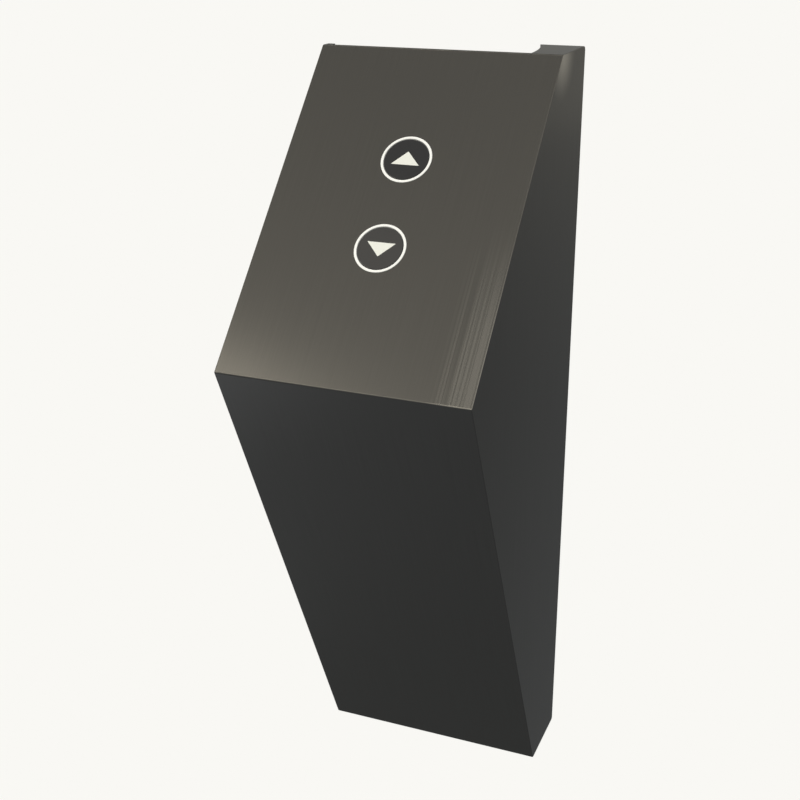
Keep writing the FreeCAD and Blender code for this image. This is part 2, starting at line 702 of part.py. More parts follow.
def switch_board():
    """The square board that carries the switch in front and the socket behind."""
    side = HOUSING_SIDE - 2 * REAR_COVER_WALL - 2 * SWITCH_BOARD_GAP
    return square_bar(side, SWITCH_BOARD_BOTTOM, SWITCH_BOARD_TOP)


def rear_cover():
    """The moulded cup behind the housing, with a seat for the board and a window for the socket."""
    body = square_bar(HOUSING_SIDE, REAR_COVER_END, FLOOR_BOTTOM)
    inner = HOUSING_SIDE - 2 * REAR_COVER_WALL
    upper = square_bar(inner, SWITCH_BOARD_BOTTOM, FLOOR_BOTTOM + MARGIN)
    lower = square_bar(inner - 2 * REAR_COVER_WALL, REAR_COVER_END + REAR_COVER_FLOOR,
                       SWITCH_BOARD_BOTTOM + MARGIN)
    half_x = SOCKET_WIDTH / 2 + WINDOW_GAP
    half_y = SOCKET_DEPTH / 2 + WINDOW_GAP
    window = block(-half_x, half_x, -half_y, half_y, REAR_COVER_END - MARGIN,
                   REAR_COVER_END + REAR_COVER_FLOOR + MARGIN)
    return body.cut([upper, lower, window])


def socket():
    """A four-way socket that opens towards +Z and stands on z=0."""
    half_x = SOCKET_WIDTH / 2
    half_y = SOCKET_DEPTH / 2
    body = block(-half_x, half_x, -half_y, half_y, 0, SOCKET_HEIGHT)
    cavity = block(-half_x + SOCKET_WALL, half_x - SOCKET_WALL, -half_y + SOCKET_WALL,
                   half_y - SOCKET_WALL, SOCKET_FLOOR, SOCKET_HEIGHT + MARGIN)
    return body.cut(cavity)


def plug():
    """The plug for that socket, with its shoulder on the socket's rim."""
    half_x = SOCKET_WIDTH / 2
    half_y = SOCKET_DEPTH / 2
    inner_x = half_x - SOCKET_WALL - PLUG_GAP
    inner_y = half_y - SOCKET_WALL - PLUG_GAP
    tongue = block(-inner_x, inner_x, -inner_y, inner_y, SOCKET_FLOOR + PLUG_GAP, SOCKET_HEIGHT)
    shoulder = block(-half_x, half_x, -half_y, half_y, SOCKET_HEIGHT, SOCKET_HEIGHT + PLUG_SHOULDER)
    return tongue.fuse(shoulder).removeSplitter()


def behind_switch_board(shape):
    """Turn a socket or plug to face away from the back of the switch board."""
    turned = shape.copy()
    turned.rotate(Vector(0, 0, 0), Vector(1, 0, 0), 180)
    turned.translate(Vector(0, 0, SWITCH_BOARD_BOTTOM))
    return turned


def board_socket_base(side):
    """The foot of one of the two sockets on the controller board, which open upwards."""
    top = BOARD_Z + BOARD_HEIGHT / 2
    return Vector(side * BOARD_SOCKET_SPACING / 2, BOARD_FRONT - SOCKET_DEPTH / 2,
                  top - SOCKET_HEIGHT - PLUG_SHOULDER)


def controller_board():
    """The printed circuit board on its four supports."""
    half_x = BOARD_WIDTH / 2
    half_z = BOARD_HEIGHT / 2
    board = block(-half_x, half_x, BOARD_FRONT, BOARD_BACK, BOARD_Z - half_z, BOARD_Z + half_z)
    holes = []
    for place in board_hole_places(BOARD_BACK + MARGIN):
        holes.append(rod(BOARD_HOLE, place, Vector(0, -1, 0), BOARD_THICKNESS + 2 * MARGIN))
    return board.cut(holes)


def board_hole_places(y):
    """The board's four corner holes at one Y."""
    places = []
    for x in (-1, 1):
        for z in (-1, 1):
            places.append(Vector(x * (BOARD_WIDTH / 2 - BOARD_HOLE_INSET), y,
                                 BOARD_Z + z * (BOARD_HEIGHT / 2 - BOARD_HOLE_INSET)))
    return places


def board_supports():
    """Four nylon posts with a foot on the plate, a neck through the board and a barbed nose."""
    posts = []
    for place in board_hole_places(PLATE_FRONT):
        foot = square_bar(SUPPORT_FOOT, 0, SUPPORT_HEIGHT)
        neck_end = SUPPORT_HEIGHT + BOARD_THICKNESS
        neck = square_bar(SUPPORT_NECK, SUPPORT_HEIGHT, neck_end)
        half_neck = SUPPORT_NECK / 2
        half_barb = SUPPORT_BARB / 2
        outline = [Vector(-half_barb, -half_neck, neck_end), Vector(half_barb, -half_neck, neck_end),
                   Vector(half_neck, -half_neck, neck_end + SUPPORT_NOSE),
                   Vector(-half_neck, -half_neck, neck_end + SUPPORT_NOSE)]
        face = Part.Face(Part.makePolygon(outline + outline[:1]))
        nose = face.extrude(Vector(0, SUPPORT_NECK, 0))
        post = foot.fuse([neck, nose]).removeSplitter()
        post.rotate(Vector(0, 0, 0), Vector(1, 0, 0), 90)
        post.translate(place)
        posts.append(post)
    return Part.makeCompound(posts)


def cable_terminal():
    """The screw terminal for the building's cable: wires enter from below, screws face forward."""
    width = TERMINAL_WAYS * TERMINAL_PITCH
    low = BOARD_Z - BOARD_HEIGHT / 2 + TERMINAL_FROM_EDGE
    front = BOARD_FRONT - TERMINAL_DEPTH
    body = block(-width / 2, width / 2, front, BOARD_FRONT, low, low + TERMINAL_HEIGHT)
    cuts = []
    for i in range(TERMINAL_WAYS):
        x = (i + 0.5) * TERMINAL_PITCH - width / 2
        half = TERMINAL_ENTRY / 2
        middle = BOARD_FRONT - TERMINAL_ENTRY_SETBACK
        cuts.append(block(x - half, x + half, middle - half, middle + half, low - MARGIN,
                          low + TERMINAL_ENTRY_DEPTH))
        screw_z = low + TERMINAL_SCREW_RISE
        cuts.append(block(x - half, x + half, front - MARGIN, front + TERMINAL_SCREW_RECESS,
                          screw_z - half, screw_z + half))
    return body.cut(cuts)


def board_chips():
    """The processor and the bus driver."""
    chips = []
    for width, height, x, z in CHIP_SIZES:
        chips.append(block(x - width / 2, x + width / 2, BOARD_FRONT - CHIP_THICKNESS, BOARD_FRONT,
                           BOARD_Z + z - height / 2, BOARD_Z + z + height / 2))
    return Part.makeCompound(chips)


def board_relay():
    """The relay that reports a call to the lift controller."""
    return block(RELAY_X - RELAY_WIDTH / 2, RELAY_X + RELAY_WIDTH / 2, BOARD_FRONT - RELAY_HEIGHT,
                 BOARD_FRONT, BOARD_Z + RELAY_Z - RELAY_LENGTH / 2, BOARD_Z + RELAY_Z + RELAY_LENGTH / 2)


def board_capacitors():
    """Two box-shaped film capacitors."""
    boxes = []
    half_x = CAPACITOR_WIDTH / 2
    half_z = CAPACITOR_THICKNESS / 2
    for i in range(2):
        z = BOARD_Z + CAPACITOR_Z + i * CAPACITOR_PITCH
        boxes.append(block(CAPACITOR_X - half_x, CAPACITOR_X + half_x, BOARD_FRONT - CAPACITOR_HEIGHT,
                           BOARD_FRONT, z - half_z, z + half_z))
    return Part.makeCompound(boxes)


def lead_tube(points):
    """A six-sided sleeve along straight runs joined by tangent arcs, as large as the runs allow."""
    edges = []
    here = points[0]
    for i in range(1, len(points) - 1):
        corner = points[i]
        to_before = points[i - 1] - corner
        to_after = points[i + 1] - corner
        reach = ARC_SHARE * min(to_before.Length, to_after.Length)
        to_before.normalize()
        to_after.normalize()
        half = to_before.getAngle(to_after) / 2
        radius = reach * math.tan(half)
        start = corner + to_before * reach
        end = corner + to_after * reach
        middle_way = (to_before + to_after).normalize()
        middle = corner + middle_way * (radius / math.sin(half) - radius)
        edges.append(Part.makeLine(here, start))
        edges.append(Part.Arc(start, middle, end).toShape())
        here = end
        print(f"lead bend {i}: radius {radius:.1f} mm")
    edges.append(Part.makeLine(here, points[-1]))
    path = Part.Wire(edges)
    profile = hexagon_wire(LEAD_DIAMETER, points[0], points[1] - points[0])
    tube = path.makePipeShell([profile], True, False)
    expected = math.sqrt(3) / 2 * LEAD_DIAMETER ** 2 * path.Length
    print(f"lead length {path.Length:.1f} mm, volume {tube.Volume:.1f} of {expected:.1f} mm3")
    return tube


def lead_points(down_face, side):
    """The route from the plug behind a button to the plug on the controller board."""
    start = face_placement(down_face).multVec(Vector(0, 0, SOCKET_END - PLUG_SHOULDER))
    inwards = Vector(0, math.sin(FACE_ANGLE), -math.cos(FACE_ANGLE))
    leave = start + inwards * LEAD_EXIT_RUN
    end = board_socket_base(side) + Vector(0, 0, SOCKET_HEIGHT + PLUG_SHOULDER)
    arrive = end + Vector(0, 0, LEAD_END_RUN)
    middle = (leave + arrive) * 0.5 + Vector(0, LEAD_BOW, 0)
    return [start, leave, middle, arrive, end]


os.makedirs("parts", exist_ok=True)

save("front_hood", front_hood())
save("wall_plate", wall_plate())
save("side_rails", side_rails())
save("top_rail", top_rail())
save("screw_shelf", screw_shelf())
save("wall_gasket", wall_gasket())
save("hanger_pins", hanger_pins())
save("hood_screws", hood_screws())
save("hood_nuts", hood_nuts())
save("cable_grommet", cable_grommet())
save("earth_stud", earth_stud())
save("earth_nut", earth_nut())

save("controller_board", controller_board())
save("board_supports", board_supports())
save("cable_terminal", cable_terminal())
save("board_chips", board_chips())
save("board_relay", board_relay())
save("board_capacitors", board_capacitors())

studs = []
stud_nuts = []
board_sockets = []
plugs = []
for name, down_face, sense in BUTTON_SETTINGS:
    save(f"{name}_light_ring", place_on_face(light_ring(), down_face))
    save(f"{name}_seal", place_on_face(seal(), down_face))
    save(f"{name}_housing", place_on_face(housing(), down_face))
    save(f"{name}_rear_cover", place_on_face(rear_cover(), down_face))
    save(f"{name}_led_board", place_on_face(led_board(), down_face))
    save(f"{name}_leds", place_on_face(leds(), down_face))
    save(f"{name}_switch", place_on_face(switch_body(), down_face))
    save(f"{name}_switch_board", place_on_face(switch_board(), down_face))
    save(f"{name}_socket", place_on_face(behind_switch_board(socket()), down_face))
    save(f"{name}_spring", place_on_face(return_spring(), down_face))
    save(f"{name}_cap", place_on_face(cap(sense), down_face))
    save(f"{name}_arrow", place_on_face(arrow(sense), down_face))
    save(f"{name}_stem", place_on_face(stem(), down_face))
    save(f"{name}_clip", place_on_face(retaining_clip(), down_face))
    save(f"{name}_plunger", place_on_face(switch_plunger(), down_face))
    save(f"{name}_lead", lead_tube(lead_points(down_face, -sense)))

    for y in (-STUD_OFFSET, STUD_OFFSET):
        stud = disc(STUD_DIAMETER, PANEL_BACK - STUD_LENGTH, PANEL_BACK, 0, y)
        studs.append(place_on_face(stud, down_face))
        nut = hexagon(STUD_NUT_KEY, Vector(0, y, HOUSING_FLANGE_BACK), Vector(0, 0, -1),
                      STUD_NUT_HEIGHT)
        thread = disc(STUD_DIAMETER + 2 * THREAD_GAP, PANEL_BACK - STUD_LENGTH, PANEL_BACK, 0, y)
        stud_nuts.append(place_on_face(nut.cut(thread), down_face))

    foot = board_socket_base(-sense)
    board_socket = socket()
    board_socket.translate(foot)
    board_sockets.append(board_socket)
    board_plug = plug()
    board_plug.translate(foot)
    plugs.append(board_plug)
    plugs.append(place_on_face(behind_switch_board(plug()), down_face))

save("button_studs", Part.makeCompound(studs))
save("stud_nuts", Part.makeCompound(stud_nuts))
save("board_sockets", Part.makeCompound(board_sockets))
save("lead_plugs", Part.makeCompound(plugs))
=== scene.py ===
import json
import math

import bmesh
import bpy
from mathutils import Matrix, Vector

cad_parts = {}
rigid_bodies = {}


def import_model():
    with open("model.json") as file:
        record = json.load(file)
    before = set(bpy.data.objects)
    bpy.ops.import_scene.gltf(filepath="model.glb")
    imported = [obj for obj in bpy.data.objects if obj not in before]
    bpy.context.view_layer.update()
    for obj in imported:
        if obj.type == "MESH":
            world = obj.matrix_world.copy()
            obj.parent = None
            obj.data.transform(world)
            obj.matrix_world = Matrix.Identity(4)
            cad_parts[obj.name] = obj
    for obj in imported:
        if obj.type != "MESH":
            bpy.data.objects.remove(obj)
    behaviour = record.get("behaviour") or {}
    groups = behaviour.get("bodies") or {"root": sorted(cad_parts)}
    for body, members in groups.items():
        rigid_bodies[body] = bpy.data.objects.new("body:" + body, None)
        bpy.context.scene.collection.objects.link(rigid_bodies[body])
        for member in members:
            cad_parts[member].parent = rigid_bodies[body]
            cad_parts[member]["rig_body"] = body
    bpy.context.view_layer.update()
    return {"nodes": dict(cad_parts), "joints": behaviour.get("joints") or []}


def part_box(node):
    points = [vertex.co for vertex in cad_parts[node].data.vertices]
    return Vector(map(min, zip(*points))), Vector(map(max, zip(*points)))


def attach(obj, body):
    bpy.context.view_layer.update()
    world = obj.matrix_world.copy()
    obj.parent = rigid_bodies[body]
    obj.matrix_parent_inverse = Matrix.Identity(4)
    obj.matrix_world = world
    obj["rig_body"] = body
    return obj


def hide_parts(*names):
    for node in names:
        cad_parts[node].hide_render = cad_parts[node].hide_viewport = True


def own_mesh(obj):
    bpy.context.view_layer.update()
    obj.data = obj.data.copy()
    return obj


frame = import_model()
nodes = frame["nodes"]
scene = bpy.context.scene


# The view
# The eye is about 68 cm from the nose, above it and to its right. The lens and the place were
# worked out from the corners of the hood.

LENS = 57.56
SENSOR = 36.0
EYE = (0.26759, -0.77351, 0.32468)
EYE_TURN = (68.410, 0.111, 21.979)


def linked(name, data):
    """A new object in the scene for a camera, a lamp, a mesh or a line."""
    made = bpy.data.objects.new(name, data)
    scene.collection.objects.link(made)
    return made


camera = linked("camera", bpy.data.cameras.new("camera"))
camera.data.lens = LENS
camera.data.sensor_width = SENSOR
camera.location = EYE
camera.rotation_euler = [math.radians(turn) for turn in EYE_TURN]
scene.camera = camera
scene.view_settings.view_transform = "Standard"


# The studio
# A pale paper floor far below the station and a pale room all round it. Warm light comes from
# windows and the ceiling, a small lamp stands close to the nose, two cool cards light the station
# from below and to its left, and a weak lamp stands behind its top right corner.

PAPER = "#F9F8F4"
# What the metal mirrors of the floor is painted greyer near the station, a painted shade
FLOOR_PAINTED_SHADE = "#B6BAC0"
PAINTED_SHADE_END = 3.0
PAPER_START = 10.0
FLOOR_Z = -1.1
FLOOR_RADIUS = 30.0
FLOOR_SHADE = 0.12
ROOM_FILL = 0.57
WARM = "#FFF6E6"
COOL = "#F1F5FF"
# Name, direction, angle across in degrees, strength
FAR_LAMPS = (
    ("window", (-0.60, -0.19, 0.78), 20.0, 0.108),
    ("strip", (-0.482, -0.48, 0.73), 10.0, 0.264),
    ("ceiling", (0.05, -0.34, 0.94), 20.0, 0.253),
    ("soft_box", (-0.38, -0.471, 0.796), 24.0, 0.117),
    ("front", (0.0, -0.90, 0.40), 20.0, 0.161),
    ("skylight", (-0.35, 0.10, 0.93), 14.0, 0.529),
)
# Name, place, point aimed at, side, watts, colour
NEAR_LAMPS = (
    ("nose_lamp", (-0.244, -0.357, 0.342), (-0.075, -0.20, 0.08), 0.08, 0.178, WARM),
    ("bounce_card", (-0.80, -0.52, -0.88), (0.0, -0.12, -0.08), 0.40, 0.85, COOL),
    ("floor_card", (-0.76, 0.04, -1.03), (0.0, -0.12, -0.08), 0.40, 0.95, COOL),
    ("behind", (0.33, 0.92, 0.16), (0.07, -0.05, 0.20), 0.25, 0.09, WARM),
)


def srgb(code):
    """A #RRGGBB colour as linear red, green, blue and alpha."""
    parts = [int(code[i:i + 2], 16) / 255 for i in (1, 3, 5)]
    linear = [c / 12.92 if c <= 0.04045 else ((c + 0.055) / 1.055) ** 2.4 for c in parts]
    return (*linear, 1.0)


def add(tree, kind, inputs=None, **settings):
    """Add a node to a tree. A shader node's kind is given without its first word.

    An input takes a value, a socket, or a node for its first output.
    """
    node = tree.nodes.new(kind if "Node" in kind else f"ShaderNode{kind}")
    for name, value in settings.items():
        setattr(node, name, value)
    for name, value in (inputs or {}).items():
        if isinstance(value, bpy.types.Node):
            value = next(socket for socket in value.outputs if socket.enabled)
        if isinstance(value, bpy.types.NodeSocket):
            tree.links.new(value, node.inputs[name])
        else:
            node.inputs[name].default_value = value
    return node


def emptied(data, name):
    """A new world or material, and its node tree without the nodes it comes with."""
    made = data.new(name)
    made.use_nodes = True
    made.node_tree.nodes.clear()
    return made, made.node_tree


def hang(name, kind, towards, energy, colour):
    """A lamp of one kind, turned to shine from a direction."""
    lamp = linked(name, bpy.data.lights.new(name, kind))
    lamp.data.energy = energy
    lamp.data.color = srgb(colour)[:3]
    lamp.rotation_euler = towards.to_track_quat("Z", "Y").to_euler()
    return lamp


# The place at a point, as a matrix
at = Matrix.Translation


def as_object(name, bm, place=None):
    """Put a mesh where it belongs and make it an object at the origin."""
    if place is not None:
        bmesh.ops.transform(bm, matrix=place, verts=bm.verts)
    mesh = bpy.data.meshes.new(name)
    bm.to_mesh(mesh)
    bm.free()
    return linked(name, mesh)


def coat(made, *finishes):
    """Give an object its finishes and no others."""
    made.data.materials.clear()
    for finish in finishes:
        made.data.materials.append(finish)


scene.world, tree = emptied(bpy.data.worlds, "room")
ray = add(tree, "LightPath").outputs
seen = add(tree, "Math", {0: ray["Is Camera Ray"], 1: ray["Is Glossy Ray"]}, operation="MAXIMUM")
seen = add(tree, "Math", {0: seen, 1: ray["Is Transmission Ray"]}, operation="MAXIMUM")
fill = add(tree, "Background", {"Color": srgb(PAPER), "Strength": ROOM_FILL})
paper = add(tree, "Background", {"Color": srgb(PAPER), "Strength": 1.0})
mixed = add(tree, "MixShader", {0: seen, 1: fill, 2: paper})
add(tree, "OutputWorld", {"Surface": mixed})

floor_light = Vector(srgb(PAPER)[:3]) * ROOM_FILL
for name, towards, angle, strength in FAR_LAMPS:
    lamp = hang(name, "SUN", Vector(towards), strength, WARM)
    lamp.data.angle = math.radians(angle)
    floor_light += Vector(lamp.data.color) * strength * Vector(towards).normalized().z / math.pi
for name, stand, aim, side, watts, colour in NEAR_LAMPS:
    lamp = hang(name, "AREA", Vector(stand) - Vector(aim), watts, colour)
    lamp.data.shape = "SQUARE"
    lamp.data.size = side
    lamp.location = stand
    lamp.visible_camera = False

# Matt paper: it keeps the station's shadow and looks as pale as the room. Where the metal mirrors
# it, it is painted greyer near the station: a painted shade.
floor_paper, tree = emptied(bpy.data.materials, "floor_paper")
lit = [c * (1 - FLOOR_SHADE * light) for c, light in zip(srgb(PAPER), floor_light)]
dimmed = [c * FLOOR_SHADE for c in srgb(PAPER)[:3]]
ray = add(tree, "LightPath").outputs
shaded = add(tree, "BsdfDiffuse", {"Color": (*dimmed, 1.0)})
direct = add(tree, "Math", {0: ray["Is Camera Ray"], 1: ray["Is Transmission Ray"]},
             operation="MAXIMUM")
direct = add(tree, "Emission", {"Color": (*lit, 1.0), "Strength": direct})
spot = add(tree, "TexCoord").outputs["Object"]
away = add(tree, "VectorMath", {0: spot}, operation="LENGTH")
# Painted shade: the floor that the metal mirrors is greyer near the station
far = add(tree, "MapRange", {0: away, 1: PAINTED_SHADE_END, 2: PAPER_START})
tone = add(tree, "Mix", {0: far, 6: srgb(FLOOR_PAINTED_SHADE), 7: srgb(PAPER)}, data_type="RGBA")
mirrored = add(tree, "Emission", {"Color": tone, "Strength": ray["Is Glossy Ray"]})
both = add(tree, "AddShader", {0: direct, 1: mirrored})
both = add(tree, "AddShader", {0: both, 1: shaded})
add(tree, "OutputMaterial", {"Surface": both})

bm = bmesh.new()
bmesh.ops.create_circle(bm, cap_ends=True, radius=FLOOR_RADIUS, segments=96)
floor = as_object("floor", bm, at((0, 0, FLOOR_Z)))
coat(floor, floor_paper)


# Front hood
# One folded sheet of 1.5 mm stainless with welded, ground cheek seams, open at the back. It was
# coloured bronze-black and hairline-brushed along its length; the inside keeps the mill's surface.

MM = 0.001
NOSE_DEPTH = 200 * MM
NOSE_RISE = 320 * MM
RETURN_DEPTH = 50 * MM
SHEET = 1.5 * MM
SEAM_BEVEL = 0.6 * MM
BENDS = (2.5 * MM, 1.5 * MM, 1.2 * MM, 3.0 * MM, 2.5 * MM)
INNER_BENDS = (0.0, 0.4 * MM, 0.4 * MM, 1.5 * MM, 0.0)
BEND_STEPS = 8
OPEN_BACK = 5 * MM
PANEL_HOLE = 30.5 * MM
PANEL_DRILL = 5 * MM
SCREW_HOLE = 4.5 * MM
SCREW_DRILL = 4 * MM
SCREW_PLACES = (-40 * MM, 40 * MM)
SCREW_Y = -27 * MM
CUTOUT_DROP = 12 * MM
CUTOUT_LEFT = 5 * MM
CUTOUT_TAB = 7 * MM
CUTOUT_CURVE = ((55.4 * MM, None), (53.3 * MM, -24.5 * MM), (46.5 * MM, 1.0 * MM))
LAMP_BOARD_BEHIND = 13.2 * MM

side_x, _, top_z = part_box("front_hood")[1]
bottom_z = -top_z
nose_z = bottom_z + NOSE_RISE
press_axis = Vector(frame["joints"][0]["axis"])
outwards = -press_axis
up_face = outwards.cross(Vector((1, 0, 0)))
on_face = Matrix((Vector((1, 0, 0)), up_face, outwards)).transposed().to_4x4()

# The frame of each button: its centre in the hood's face, with Z outwards and Y up the face.
buttons = {}
for name in ("up", "down"):
    low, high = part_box(f"{name}_led_board")
    centre = (low + high) / 2 + outwards * LAMP_BOARD_BEHIND
    buttons[name] = at(centre) @ on_face


def rounded(points, radii, steps=BEND_STEPS):
    """The corners of a flat outline, each replaced by an arc of its own radius."""
    outline = []
    for i, corner in enumerate(points):
        here = Vector(corner)
        if radii[i] <= 0:
            outline.append(here)
            continue
        before = (Vector(points[i - 1]) - here).normalized()
        after = (Vector(points[(i + 1) % len(points)]) - here).normalized()
        half = before.angle(after) / 2
        reach = radii[i] / math.tan(half)
        centre = here + (before + after).normalized() * radii[i] / math.sin(half)
        start = here + before * reach - centre
        end = here + after * reach - centre
        for step in range(steps + 1):
            outline.append(centre + start.slerp(end, step / steps).normalized() * radii[i])
    return outline


def circle_through(a, b, c, steps):
    """Points on the arc from a through b to c."""
    near = b - a
    far = c - a
    centre = a + (near.orthogonal() * far.length_squared
                  - far.orthogonal() * near.length_squared) / (2 * near.cross(far))
    start = a - centre
    end = c - centre
    return [centre + start.slerp(end, i / steps).normalized() * start.length
            for i in range(steps + 1)]


def disc(radius, low, high):
    """Half the section of a disc about Z, as (radius, height) points."""
    return [(0, low), (radius, low), (radius, high), (0, high)]


def extruded(outline, low, high):
    """A closed prism along Z over a flat outline."""
    bm = bmesh.new()
    floor_ring = [bm.verts.new((p[0], p[1], low)) for p in outline]
    roof_ring = [bm.verts.new((p[0], p[1], high)) for p in outline]
    bm.faces.new(floor_ring)
    bm.faces.new(roof_ring)
    for i in range(len(outline)):
        j = (i + 1) % len(outline)
        bm.faces.new((floor_ring[i], floor_ring[j], roof_ring[j], roof_ring[i]))
    bmesh.ops.recalc_face_normals(bm, faces=bm.faces)
    return bm


def turned(profile, segments=128):
    """A closed solid of revolution about Z from its (radius, height) points."""
    bm = bmesh.new()
    rings = []
    for radius, height in profile:
        angles = [2 * math.pi * i / segments for i in range(segments if radius > 0 else 1)]
        rings.append([bm.verts.new((radius * math.cos(angle), radius * math.sin(angle), height))
                      for angle in angles])
    for near, far in zip(rings, rings[1:] + rings[:1]):
        for i in range(segments):
            # A point on the axis gives its corner once
            corners = dict.fromkeys(ring[k % segments % len(ring)] for ring, k in (
                (near, i + 1), (near, i), (far, i), (far, i + 1)))
            if len(corners) > 2:
                bm.faces.new(list(corners))
    bmesh.ops.recalc_face_normals(bm, faces=bm.faces)
    return bm


def worked_out(made):
    """A new plain mesh of what an object's modifiers make of it."""
    graph = bpy.context.evaluated_depsgraph_get()
    graph.update()
    return bpy.data.meshes.new_from_object(made.evaluated_get(graph))


def plain_mesh(made):
    """Replace an object's mesh by what its modifiers make of it."""
    old, made.data = made.data, worked_out(made)
    made.modifiers.clear()
    bpy.data.meshes.remove(old)
    made.data.name = made.name


def discard(made):
    """Remove an object and its mesh."""
    old = made.data
    bpy.data.objects.remove(made)
    bpy.data.meshes.remove(old)


def combine(made, operation, *shapes):
    """Join closed shapes to a closed object, or cut them out. Each is a mesh and its place."""
    tools = [as_object("tool", shape, place) for shape, place in shapes]
    for tool in tools:
        step = made.modifiers.new("combine", "BOOLEAN")
        step.object = tool
        step.operation = operation
        step.solver = "EXACT"
    plain_mesh(made)
    for tool in tools:
        discard(tool)


def shade(made, sharp_over=35.0):
    """Smooth shading that stays flat on the large faces and breaks at the sharp edges."""
    made.data.shade_smooth()
    made.data.set_sharp_from_angle(angle=math.radians(sharp_over))
    step = made.modifiers.new("weighted", "WEIGHTED_NORMAL")
    step.keep_sharp = True
    step.weight = 100
    plain_mesh(made)


def fit(made, body, slot, *replaced):
    """Attach a finished piece to the body it rides on and hide the parts it stands for.

    The slot is not used.
    """
    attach(made, body)
    if replaced:
        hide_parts(*replaced)


def surfaced(tree, colour, dull, surface, relief=None):
    """End a finish's tree. Colour and dullness are nodes, or a pattern and the ends it mixes."""
    if isinstance(colour, tuple):
        by, dark, light = colour
        colour = add(tree, "Mix", {0: by, 6: srgb(dark), 7: srgb(light)}, data_type="RGBA")
    if isinstance(dull, tuple):
        by, least, most = dull
        dull = add(tree, "MapRange", {0: by, 3: least, 4: most})
    surface = {"Base Color": colour, "Roughness": dull, **surface}
    if relief:
        relief = dict(zip(("Height", "Strength", "Distance"), relief))
        surface["Normal"] = add(tree, "Bump", relief)
    shader = add(tree, "BsdfPrincipled", surface)
    add(tree, "OutputMaterial", {"Surface": shader})


def clouded(name, dark, light, cloud, dullness, surface, grain=None):
    """A finish whose colour and dullness drift over the piece, with a fine grain if it has one.

    The cloud is its patches per metre, their levels of detail and how rough these are.
    """
    material, tree = emptied(bpy.data.materials, name)
    spot = add(tree, "TexCoord").outputs["Object"]
    patches = dict(zip(("Vector", "Scale", "Detail", "Roughness"), (spot, *cloud)))
    patches = add(tree, "TexNoise", patches)
    relief = None
    if grain:
        cells = add(tree, "TexVoronoi", {"Vector": spot, "Scale": 1 / grain})
        relief = (cells, 0.25, grain / 6)
    surfaced(tree, (patches, dark, light), (patches, *dullness), surface, relief)
    return material


# The sheet is folded about X, so its outline is drawn in the YZ plane.
corners = [Vector(corner) for corner in (
    (0.0, top_z), (-RETURN_DEPTH, top_z), (-NOSE_DEPTH, nose_z), (-RETURN_DEPTH, bottom_z),
    (0.0, bottom_z))]
along_x = Matrix(((0, 0, 1, 0), (1, 0, 0, 0), (0, 1, 0, 0), (0, 0, 0, 1)))
bm = extruded(rounded(corners, BENDS), -side_x, side_x)
seams = [e for e in bm.edges if abs(abs(e.verts[0].co.z + e.verts[1].co.z) / 2 - side_x) < 1e-6]
bmesh.ops.bevel(bm, geom=seams, offset=SEAM_BEVEL, segments=3, profile=0.5, affect="EDGES")
hood = as_object("hood", bm, along_x)

inner = []
for i, corner in enumerate(corners):
    before = (corner - corners[i - 1]).normalized()
    after = (corners[(i + 1) % 5] - corner).normalized()
    start = corner + before.orthogonal() * (SHEET if i != 0 else -OPEN_BACK)
    other = corner + after.orthogonal() * (SHEET if i != 4 else -OPEN_BACK)
    run = (other - start).dot(after.orthogonal()) / before.dot(after.orthogonal())
    inner.append(start + before * run)
cavity = extruded(rounded(inner, INNER_BENDS), SHEET - side_x, side_x - SHEET)

face_angle = math.atan2(top_z - nose_z, NOSE_DEPTH - RETURN_DEPTH)
cut_front = SHEET / math.sin(face_angle) - RETURN_DEPTH
curve = [Vector((x, cut_front if y is None else y)) for x, y in CUTOUT_CURVE]
left_x = CUTOUT_LEFT - side_x
tab_y = CUTOUT_TAB - RETURN_DEPTH
outline = circle_through(*curve, 24) + [
    (-side_x - MM, MM), (-side_x - MM, tab_y), (left_x, tab_y), (left_x, cut_front)]
cable_way = extruded(outline, top_z - CUTOUT_DROP, top_z + MM)
panel_holes = [(turned(disc(PANEL_HOLE / 2, -PANEL_DRILL, MM)), place)
               for place in buttons.values()]
screw_holes = [(turned(disc(SCREW_HOLE / 2, -MM, SCREW_DRILL), 64), at((x, SCREW_Y, bottom_z)))
               for x in SCREW_PLACES]
combine(hood, "DIFFERENCE", (cavity, along_x), (cable_way, None), *panel_holes, *screw_holes)

# Hairline-brushed, bronze-black stainless: dark but still a metal, with a highlight that spreads
# across the lines. The lines are 0.3 mm apart on the real sheet; they are drawn about twice as
# coarse so that they show. By the right-hand seam the sheet had a second dressing with a coarse
# belt, which left streaks 2 to 3 mm apart; near the nose corner these streaks are also painted
# lighter, and lighter still towards the seam, as a painted highlight. The upper edges are painted
# lighter, partly scuffing and partly a painted highlight, and so is the cheek's top corner, as a
# painted highlight. The level returns are left duller than the faces.
LINES_PER_M = (1600, 5, 14)
STREAKS_PER_M = (860, 5, 3)
# Where the seam's streaks and the painted highlight by the nose corner lie, across and up
DRESSED_AND_SHEEN_X = (45 * MM, 70 * MM)
DRESSED_AND_SHEEN_Z = (165 * MM, 90 * MM)
# Across the sheet, where the streaks are painted lighter towards the seam: a painted highlight
PALER_X = (50 * MM, 73.5 * MM)
TONES = (-3.0, 4.5)
# Reach of the painted highlight round the cheek's top corner
CORNER_HIGHLIGHT_REACH = (28 * MM, -2 * MM)
# How far a normal's Z turns out of the face, and how far it still looks up
OUT_OF_FACE = (0.66, 0.58)
UPPER_SIDE = (0.10, 0.32)
LINE_DEPTH = 0.02 * MM

